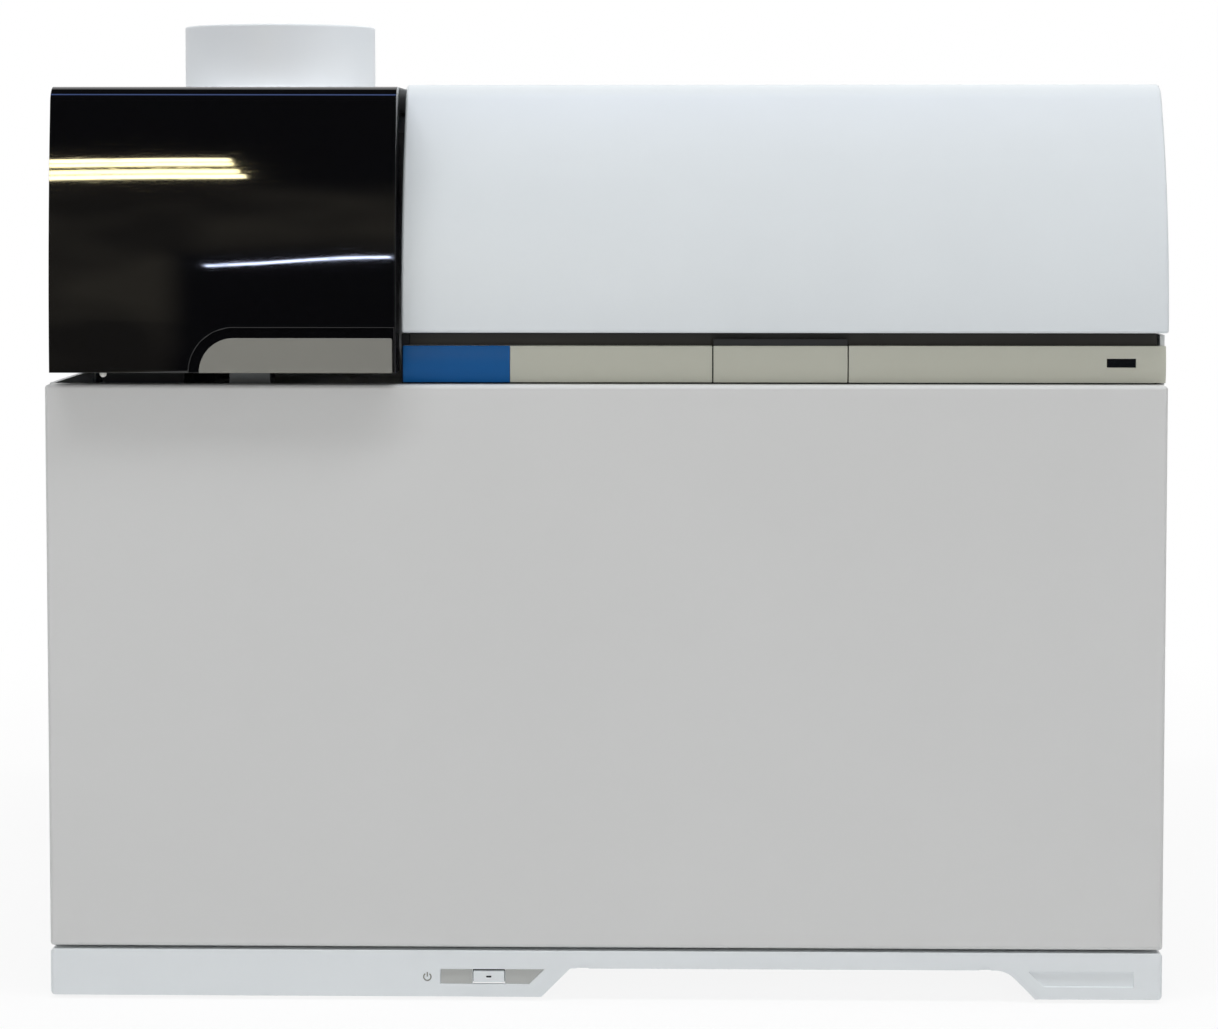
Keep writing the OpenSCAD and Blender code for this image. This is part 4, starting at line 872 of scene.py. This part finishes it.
@dataclass
class PowerControl:
    """The power button, its unlit lamp and the printed power mark beside its recess."""

    node: str = "power_button"
    edge_mm: float = 0.7
    edge_steps: int = 3
    lamp_size_mm: tuple[float, float] = (4.6, 1.7)
    lens_rings: int = 6
    lens_points: int = 48
    lens_core: float = 0.05
    lens_sunk_mm: float = 0.1
    lens_dome_mm: float = 0.25
    mark_x_mm: float = 40.4
    mark_drop_mm: float = 0.2
    mark_r_mm: float = 2.4
    mark_steps: int = 49
    gap_deg: float = 70.0
    bar_start_mm: float = 0.2
    bar_over_mm: float = 0.7
    line_mm: float = 0.8
    print_mm: float = 0.12
    sunk_mm: float = 0.05

    def build(self) -> list[Piece]:
        """Makes the button, its lamp and the mark.

        Returns:
            The pieces.
        """
        button = rounded_copy(self.node, "button", Palette.TRIM_GREY, self.edge_mm, self.edge_steps)
        low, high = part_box(self.node)
        centre = Vector(((low.x + high.x) / 2, low.y, (low.z + high.z) / 2))
        lamp = self.lens(centre)
        dress(lamp, Palette.WINDOW_BLACK)
        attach(lamp, "button")
        mark = self.mark(centre)
        for piece in mark:
            dress(piece, Palette.GRIP_GREY)
            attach(piece, "chassis")
        return [button, lamp, *mark]

    def lens(self, centre: Vector) -> Piece:
        """Makes the lamp's lens: a low dome over a rounded slot, |x/a|^4 + |z/b|^4 = r^4, y = -h (1 - r^2).

        Args:
            centre: the middle of the button's face.

        Returns:
            The lens.
        """
        radius = np.linspace(1.0, self.lens_core, self.lens_rings)[:, None]
        turn = np.linspace(0.0, 2 * np.pi, self.lens_points, endpoint=False)[None, :]
        half_w, half_h = (size * MM / 2 for size in self.lamp_size_mm)
        across = np.sign(np.cos(turn)) * np.abs(np.cos(turn)) ** 0.5
        upward = np.sign(np.sin(turn)) * np.abs(np.sin(turn)) ** 0.5
        x = centre.x + half_w * radius * across
        z = centre.z + half_h * radius * upward
        y = centre.y + self.lens_sunk_mm * MM - self.lens_dome_mm * MM * (1 - radius**2) + 0 * turn
        points = np.stack([x, y, z], axis=-1)
        lens = object_from("power_button.lamp", points, closed_faces(self.lens_rings, self.lens_points))
        return smooth(recalculated(lens), 60.0)

    def mark(self, button: Vector) -> tuple[Piece, Piece]:
        """Prints the mark: a ring open at the top, and an upright bar in the opening.

        A point of the ring is the centre plus the radius r turned by the angle a from the upright, with
        (r, y) going round a small rectangle.

        Args:
            button: the middle of the button's face.

        Returns:
            The ring and the bar.
        """
        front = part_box("base_trim")[0].y
        x0, z0 = button.x - self.mark_x_mm * MM, button.z - self.mark_drop_mm * MM
        half, thick, sunk = self.line_mm * MM / 2, self.print_mm * MM, self.sunk_mm * MM
        turn = np.radians(np.linspace(self.gap_deg / 2, 360 - self.gap_deg / 2, self.mark_steps))[:, None]
        radial = self.mark_r_mm * MM + np.array([-half, half, half, -half])[None, :]
        depth = front + np.array([sunk, sunk, -thick, -thick])[None, :] + 0 * turn
        points = np.stack([x0 + radial * np.sin(turn), depth, z0 + radial * np.cos(turn)], axis=-1)
        ring = recalculated(object_from("power_mark.ring", points, closed_faces(self.mark_steps, 4)))
        x = x0 + np.array([-half, half, half, -half])
        low, high = z0 + self.bar_start_mm * MM, z0 + (self.mark_r_mm + self.bar_over_mm) * MM
        z = np.array([low, low, high, high])
        corners = np.vstack([np.column_stack([x, np.full(4, front + d), z]) for d in (-thick, sunk)])
        return ring, recalculated(object_from("power_mark.bar", corners, closed_faces(2, 4)))


@dataclass
class HoodBumpers:
    """The small round bumpers that the hood rests on, under its lower front edge."""

    insets_mm: tuple[float, ...] = (34.0,)
    radius_mm: float = 2.2
    drop_mm: float = 3.2
    back_mm: float = 7.0
    core_mm: float = 0.05
    seat_mm: float = 0.6
    dome_steps: int = 7
    turn_steps: int = 32

    def build(self) -> list[Piece]:
        """Makes each bumper as a turned dome on a stem.

        Returns:
            The bumpers.
        """
        low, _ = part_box("hood_shell")
        stem = self.drop_mm - self.radius_mm
        turn = np.linspace(0.0, np.pi / 2, self.dome_steps)[:-1]
        dome = [(self.radius_mm * math.cos(a), -stem - self.radius_mm * math.sin(a)) for a in turn]
        seat = [(self.core_mm, self.seat_mm), (self.radius_mm, self.seat_mm)]
        profile = [*seat, *dome, (self.core_mm, -self.drop_mm)]
        made = []
        for number, inset in enumerate(self.insets_mm, 1):
            centre = Vector((low.x + inset * MM, low.y + self.back_mm * MM, low.z))
            piece = revolved(f"hood_bumper_{number}", profile, centre, steps=self.turn_steps)
            dress(piece, Palette.POLYMER_WHITE)
            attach(piece, "hood")
            made.append(piece)
        return made


@dataclass
class RecessShadeLiner:
    """A thin mid-grey plate on the floor of the switch recess, in one piece on each side of the button:
    painted shade that darkens the recess.
    """

    left_mm: float = 31.6
    right_mm: float = 36.2
    height_mm: float = 9.7
    back_mm: float = 1.46
    thick_mm: float = 0.3
    gap_mm: float = 0.7
    edge_mm: float = 0.12
    # Fine, matt moulding finish in an even mid grey: painted shade that darkens the recess floor against the
    # pale trim
    finish: Finish = Moulding("matt_moulding_mid_grey", "#BFC0BD", 0.6, patch="#B9BAB7", grain_mm=0.8)

    def build(self) -> list[Piece]:
        """Makes the left piece, and the right piece with its slanted end.

        Returns:
            The pieces.
        """
        low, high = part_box("power_button")
        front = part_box("base_trim")[0].y
        middle = (low.x + high.x) / 2
        level, half = (low.z + high.z) / 2, self.height_mm * MM / 2
        z0, z1 = level - half, level + half
        x0, x1 = middle - self.left_mm * MM, middle + self.right_mm * MM
        gap = self.gap_mm * MM
        left = np.array([[x0, z0], [low.x - gap, z0], [low.x - gap, z1], [x0, z1]])
        right = np.array([[high.x + gap, z0], [x1 - self.height_mm * MM, z0], [x1, z1], [high.x + gap, z1]])
        sides = {"recess_insert_left": left, "recess_insert_right": right}
        made = [self.pressed(name, outline, front) for name, outline in sides.items()]
        # Each plate takes the matt mid grey of painted shade for the recess floor
        for piece in made:
            ease(piece, self.edge_mm).data.materials.append(self.finish.material())
            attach(piece, "chassis")
        return made

    def pressed(self, name: str, outline: np.ndarray, front: float) -> Piece:
        """Makes a thin plate whose points are (x(v), y, z(v)), y going evenly from its face to its back.

        Args:
            name: the piece's name.
            outline: the plate's outline as (x, z), in metres.
            front: the trim's front face.

        Returns:
            The plate.
        """
        count = len(outline)
        depth = np.repeat(front + np.array([self.back_mm - self.thick_mm, self.back_mm]) * MM, count)
        x, z = np.tile(outline, (2, 1)).T
        return recalculated(object_from(name, np.column_stack([x, depth, z]), closed_faces(2, count)))


@dataclass
class RailEndSeal:
    """The moulded rubber block that closes the strip's left end against the hood's edge."""

    left_mm: float = 1.5
    thick_mm: float = 3.0
    front_mm: float = 0.2
    foot_mm: float = 0.3
    top_mm: float = 0.4
    end_mm: float = 0.1
    edge_mm: float = 0.5

    def build(self) -> list[Piece]:
        """Makes the block, which stands on the deck from the rail's left end to just short of the hood.

        Returns:
            The block.
        """
        low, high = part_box("strip_rail")
        plate_low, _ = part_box("colour_plate")
        outline = rectangle(
            low.y + self.front_mm * MM, low.y + self.thick_mm * MM,
            low.z + self.foot_mm * MM, high.z - self.top_mm * MM,
        )
        seal = carried("rail_end_seal", outline, plate_low.x - self.left_mm * MM, low.x - self.end_mm * MM)
        dress(ease(seal, self.edge_mm), Palette.RUBBER)
        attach(seal, "chassis")
        return [seal]


class Lamp(Enum):
    """What a lamp is there for."""

    SOFT = "soft"
    GLOSS_ONLY = "gloss_only"


@dataclass(frozen=True)
class LampSpec:
    """One rectangular lamp."""

    name: str
    place: tuple[float, float, float]
    aim: tuple[float, float, float]
    size: tuple[float, float]
    watts: float
    colour: str = "#FFFFFF"
    use: Lamp = Lamp.SOFT
    roll_deg: float = 0.0


@dataclass
class Studio:
    """The camera, the lamps, the pale floor, the white surroundings and the dark side of the room."""

    camera_place: tuple[float, float, float] = (0.048, -2.435, 0.5396)
    pitch_deg: float = 3.5
    yaw_deg: float = 1.2
    focal_px: float = 3320.0
    sensor_mm: float = 36.0
    shift_y: float = -0.11
    floor_size: float = 16.0
    floor_white_near: float = 0.87
    floor_fade: tuple[float, float] = (0.45, 1.5)
    floor_lit: str = "#E8E8E8"
    floor_seen: str = "#F8F8F8"
    ambient: float = 0.26
    cloth_y: float = -4.3
    cloth_width: float = 4.4
    cloth_height: float = 3.1
    cloth_reach: float = 5.2
    cloth_glow: float = 0.3
    glow_below: tuple[float, float] = (1.46, 1.28)
    glow_left: tuple[float, float] = (-0.86, -0.93)
    glow_above: tuple[float, float] = (0.90, 1.02)
    glow_patch_mm: float = 260.0
    lamps: tuple[LampSpec, ...] = (
        LampSpec("lamp_overhead", (0.1, -0.95, 3.0), (0.0, -0.28, 0.4), (3.6, 0.3), 54.0, "#FBFDFF"),
        LampSpec("lamp_top", (0.1, 0.3, 3.0), (0.0, 0.1, 0.4), (3.6, 2.0), 9.0),
        LampSpec("lamp_front", (0.1, -4.4, 1.5), (0.0, 0.0, 0.4), (2.6, 1.8), 34.0),
        LampSpec("lamp_back", (0.0, 3.6, 1.9), (0.0, 0.0, 0.3), (3.0, 1.8), 34.0),
    )
    # Ceiling fittings that only gloss shows: two pairs of tubes, one thin line and a skylight
    tubes: tuple[LampSpec, ...] = (
        LampSpec("tube_1", (-1.117, -3.98, 1.436), (-0.3, -0.3, 0.55), (0.72, 0.022), 2.4, "#FFF1BE",
                 Lamp.GLOSS_ONLY, 8.5),
        LampSpec("tube_2", (-1.117, -3.98, 1.409), (-0.3, -0.3, 0.55), (0.73, 0.021), 2.3, "#FFEFB4",
                 Lamp.GLOSS_ONLY, 8.5),
        LampSpec("tube_3", (-1.115, -3.98, 1.365), (-0.3, -0.3, 0.55), (0.75, 0.025), 2.7, "#FFEFB4",
                 Lamp.GLOSS_ONLY, 8.5),
        LampSpec("tube_4", (-1.112, -3.98, 1.333), (-0.3, -0.3, 0.55), (0.77, 0.025), 2.7, "#FFF1BE",
                 Lamp.GLOSS_ONLY, 8.5),
        LampSpec("thin_line", (-0.622, -3.98, 0.866), (-0.3, -0.3, 0.5), (0.336, 0.013), 0.62, "#D5E0FF",
                 Lamp.GLOSS_ONLY, 13.5),
        LampSpec("skylight", (-0.1, -1.2, 3.0), (-0.25, -0.29, 0.6), (1.7, 0.4), 9.0, "#7F9BE8",
                 Lamp.GLOSS_ONLY, -3.0),
    )

    def build(self) -> None:
        """Sets the whole stage up."""
        self.set_camera()
        self.set_world()
        self.lay_floor()
        self.hang_cloths()
        for lamp in self.lamps + self.tubes:
            self.hang(lamp)

    def set_camera(self) -> None:
        """Places the camera, level side to side, with its shift for the frame's crop."""
        data = bpy.data.cameras.new("camera")
        data.sensor_width = self.sensor_mm
        data.lens = self.focal_px / IMAGE_WIDTH * self.sensor_mm
        data.shift_y = self.shift_y
        data.clip_end = 50.0
        camera = bpy.data.objects.new("camera", data)
        camera.location = self.camera_place
        camera.rotation_euler = (math.radians(90.0 - self.pitch_deg), 0.0, math.radians(self.yaw_deg))
        bpy.context.scene.collection.objects.link(camera)
        bpy.context.scene.camera = camera

    def seen(self, tree: Tree) -> Socket:
        """Gives 1 for rays from the camera, off gloss and through glass, and 0 for the light's own rays.

        Args:
            tree: the tree that needs it.

        Returns:
            The value's socket.
        """
        path = add_node(tree, "ShaderNodeLightPath")
        either = add_node(
            tree, "ShaderNodeMath", {0: path.outputs["Is Camera Ray"], 1: path.outputs["Is Glossy Ray"]},
            operation="MAXIMUM",
        )
        return add_node(
            tree, "ShaderNodeMath", {0: either.outputs[0], 1: path.outputs["Is Transmission Ray"]},
            operation="MAXIMUM",
        ).outputs[0]

    def set_world(self) -> None:
        """Makes the surroundings white to the eye, in gloss and through glass, and softer as light."""
        world = bpy.data.worlds.new("surroundings")
        world.use_nodes = True
        bpy.context.scene.world = world
        tree = world.node_tree
        tree.nodes.clear()
        strength = ranged(tree, self.seen(tree), (0.0, 1.0), (self.ambient, 1.0))
        light = add_node(tree, "ShaderNodeBackground", {"Color": linear("#FFFFFF"), "Strength": strength})
        add_node(tree, "ShaderNodeOutputWorld", {"Surface": light.outputs["Background"]})

    def lay_floor(self) -> None:
        """Lays the pale floor: white to the eye far off, and shaded by the object near it."""
        floor = sheet("floor", self.floor_size, self.floor_size, Vector((0.0, 0.0, 0.0)))
        made = bpy.data.materials.new("pale_floor")
        made.use_nodes = True
        tree = made.node_tree
        shader = tree.nodes["Principled BSDF"]
        shader.inputs["Roughness"].default_value = 0.9
        shader.inputs["Specular IOR Level"].default_value = 0.2
        seen = self.seen(tree)
        paint = add_node(
            tree, "ShaderNodeMix",
            {"Factor": seen, "A": linear(self.floor_lit), "B": linear(self.floor_seen)},
            data_type="RGBA",
        )
        tree.links.new(paint.outputs["Result"], shader.inputs["Base Color"])
        place = add_node(tree, "ShaderNodeTexCoord").outputs["Object"]
        away = add_node(tree, "ShaderNodeVectorMath", {0: place}, operation="LENGTH")
        white = ranged(
            tree, away.outputs["Value"], self.floor_fade, (self.floor_white_near, 1.0), "SMOOTHSTEP"
        )
        share = add_node(tree, "ShaderNodeMath", {0: white, 1: seen}, operation="MULTIPLY")
        glow = add_node(tree, "ShaderNodeEmission", {"Color": linear("#FFFFFF"), "Strength": 1.0})
        mix = add_node(
            tree, "ShaderNodeMixShader",
            {0: share.outputs[0], 1: shader.outputs["BSDF"], 2: glow.outputs["Emission"]},
        )
        tree.links.new(mix.outputs["Shader"], tree.nodes["Material Output"].inputs["Surface"])
        floor.data.materials.append(made)

    def hang_cloths(self) -> None:
        """Hangs the dark cloths in front of and over the front of the instrument, which only gloss shows."""
        middle = self.cloth_height / 2
        cloths = [
            sheet("dark_cloth_front", self.cloth_width, self.cloth_height,
                  Vector((0.0, self.cloth_y, middle)), upright=True),
            sheet("dark_cloth_above", self.cloth_width, self.cloth_reach,
                  Vector((0.0, self.cloth_y + self.cloth_reach / 2, self.cloth_height))),
        ]
        made = self.cloth_material()
        for cloth in cloths:
            cloth.data.materials.append(made)
            for ray in ("camera", "diffuse", "transmission", "shadow", "volume_scatter"):
                setattr(cloth, f"visible_{ray}", False)

    def cloth_material(self) -> bpy.types.Material:
        """Makes the dark cloth: dim and warm low down and to the left, black elsewhere, as a room's far side.

        Returns:
            The material.
        """
        made = bpy.data.materials.new("dark_cloth")
        made.use_nodes = True
        tree = made.node_tree
        shader = tree.nodes["Principled BSDF"]
        shader.inputs["Base Color"].default_value = linear("#141413")
        shader.inputs["Roughness"].default_value = 1.0
        shader.inputs["Specular IOR Level"].default_value = 0.0
        shader.inputs["Emission Color"].default_value = linear("#FFF3D8")
        place = add_node(tree, "ShaderNodeTexCoord").outputs["Object"]
        where = add_node(tree, "ShaderNodeSeparateXYZ", {0: place})
        low = ranged(tree, where.outputs["Z"], self.glow_below, blend="SMOOTHSTEP")
        left = ranged(tree, where.outputs["X"], self.glow_left, blend="SMOOTHSTEP")
        above = ranged(tree, where.outputs["Z"], self.glow_above, blend="SMOOTHSTEP")
        either = add_node(tree, "ShaderNodeMath", {0: left, 1: above}, operation="MAXIMUM")
        area = add_node(tree, "ShaderNodeMath", {0: low, 1: either.outputs[0]}, operation="MULTIPLY")
        shapes = noise(tree, place, self.glow_patch_mm, 1.0, 0.4)
        varied = ranged(tree, shapes, (0.35, 0.65), (0.3 * self.cloth_glow, self.cloth_glow))
        glow = add_node(tree, "ShaderNodeMath", {0: area.outputs[0], 1: varied}, operation="MULTIPLY")
        tree.links.new(glow.outputs[0], shader.inputs["Emission Strength"])
        return made

    def hang(self, spec: LampSpec) -> None:
        """Hangs one lamp, aimed at its point and rolled about its own axis.

        Args:
            spec: the lamp.
        """
        data = bpy.data.lights.new(spec.name, "AREA")
        data.shape = "RECTANGLE"
        data.size, data.size_y = spec.size
        data.energy = spec.watts
        data.color = linear(spec.colour)[:3]
        lamp = bpy.data.objects.new(spec.name, data)
        lamp.location = spec.place
        aim = (Vector(spec.aim) - Vector(spec.place)).to_track_quat("-Z", "Y")
        lamp.rotation_euler = (aim @ Quaternion((0.0, 0.0, 1.0), math.radians(spec.roll_deg))).to_euler()
        gloss_only = spec.use is Lamp.GLOSS_ONLY
        lamp.visible_camera = False
        lamp.visible_diffuse = not gloss_only
        lamp.visible_transmission = not gloss_only
        lamp.visible_glossy = gloss_only
        bpy.context.scene.collection.objects.link(lamp)


def instrument() -> list[SubAssembly]:
    """Lists the instrument's sub-assemblies.

    Returns:
        The sub-assemblies, in the order that they are built.
    """
    p = Palette
    return [
        EasedGroup("chassis", "chassis", {
            "base_pan": (p.ZINC_SHEET, 0.4), "levelling_feet": (p.RUBBER, 0.8),
            "base_trim": (p.TRIM_GREY, 1.2), "frame_left": (p.ZINC_SHEET, 0.0),
            "frame_right": (p.ZINC_SHEET, 0.0), "mid_deck": (p.ZINC_SHEET, 0.4),
            "bulkhead": (p.ZINC_SHEET, 0.4),
        }),
        EasedGroup("case", "chassis", {
            "side_panel_left": (p.CASE_PAINT, 0.0), "side_panel_right": (p.CASE_PAINT, 0.0),
            "rear_panel": (p.CASE_PAINT, 0.0), "roof_panel": (p.CASE_PAINT, 0.0),
            "front_panel": (p.PANEL_GREY, 1.0),
        }),
        EasedGroup("strip", "chassis", {
            "strip_rail": (p.RAIL_SHADE_DARK, 0.3), "name_strip": (p.STRIP_SHADED_GREIGE, 0.5),
            "colour_plate": (p.PLATE_BLUE, 0.3), "status_strip": (p.STRIP_SHADED_GREIGE, 0.5),
            "status_window": (p.WINDOW_BLACK, 0.2),
        }),
        ExhaustCollar(),
        EasedGroup("hinges and catches", "chassis", {
            "touch_catches": (p.ALLOY_DARK, 0.6), "hinge_brackets": (p.STAINLESS, 0.3),
        }),
        EasedGroup("ion path", "chassis", {
            "interface_block": (p.COPPER, 0.6), "sampler_cone": (p.NICKEL, 0.1),
            "skimmer_cone": (p.NICKEL, 0.1), "vacuum_chamber": (p.ALLOY, 1.0),
            "chamber_lid": (p.ALLOY, 0.8), "ion_lens": (p.STAINLESS, 0.3),
            "collision_cell": (p.STAINLESS, 0.4), "quadrupole": (p.STAINLESS, 0.3),
            "detector": (p.POLYMER_BLACK, 0.5),
        }),
        EasedGroup("pumps and services", "chassis", {
            "turbo_pump": (p.ALLOY_DARK, 0.6), "foreline_pipe": (p.STAINLESS, 0.5),
            "rf_generator": (p.ALLOY_DARK, 0.5), "power_supply": (p.ALLOY_DARK, 0.6),
            "control_board": (p.BOARD_GREEN, 0.2), "cooling_fan": (p.POLYMER_BLACK, 0.5),
            "water_manifold": (p.COPPER, 0.5), "gas_manifold": (p.BRASS, 0.5),
            "mains_gland": (p.POLYMER_BLACK, 0.5),
        }),
        EasedGroup("fixed parts of the sample bay", "chassis", {
            "stage_rails": (p.STAINLESS, 0.4), "pump_frame": (p.POLYMER_BLACK, 0.6),
            "power_switch": (p.POLYMER_BLACK, 0.3),
        }),
        EasedGroup("hood", "hood", {
            "hood_shell": (p.HOOD_BLACK, 2.6), "hood_handle": (p.GRIP_GREY, 0.5),
            "hood_hinge_leaves": (p.STAINLESS, 0.3),
        }),
        EasedGroup("analyser cover", "cover", {
            "cover_shell": (p.COVER_WHITE, 2.8), "cover_hinge_leaves": (p.STAINLESS, 0.3),
        }),
        LatchBar(),
        PowerControl(),
        HoodBumpers(),
        RailEndSeal(),
        RecessShadeLiner(),
        EasedGroup("torch stage", "torch_stage", {
            "torch_box": (p.ALLOY, 0.4), "cooler_block": (p.POLYMER_WHITE, 0.8),
            "nebulizer": (p.POLYMER_WHITE, 0.4), "torch_tube": (p.QUARTZ, 0.0), "load_coil": (p.COPPER, 0.0),
        }),
        EasedGroup("torch door", "torch_flap", {
            "torch_door": (p.ALLOY, 0.4), "door_window": (p.DARK_GLASS, 0.2),
        }),
        EasedGroup("pump rotor", "rotor", {"pump_rotor": (p.ALLOY, 0.3), "pump_rollers": (p.STAINLESS, 0.3)}),
        EasedGroup("front shoe", "shoe_front", {"pump_shoe_front": (p.POLYMER_WHITE, 0.5)}),
        EasedGroup("rear shoe", "shoe_rear", {"pump_shoe_rear": (p.POLYMER_WHITE, 0.5)}),
        EasedGroup("fan", "fan", {"fan_rotor": (p.POLYMER_BLACK, 0.4)}),
    ]


def main() -> None:
    """Builds the stage and the instrument."""
    logging.basicConfig(level=logging.INFO, format="%(message)s")
    bpy.context.scene.view_settings.view_transform = "Standard"
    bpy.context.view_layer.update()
    Studio().build()
    for group in instrument():
        for piece in group.build():
            LOG.info("%s: %d faces", piece.name, len(piece.data.polygons))
    bpy.context.view_layer.update()


if __name__ == "__main__":
    main()
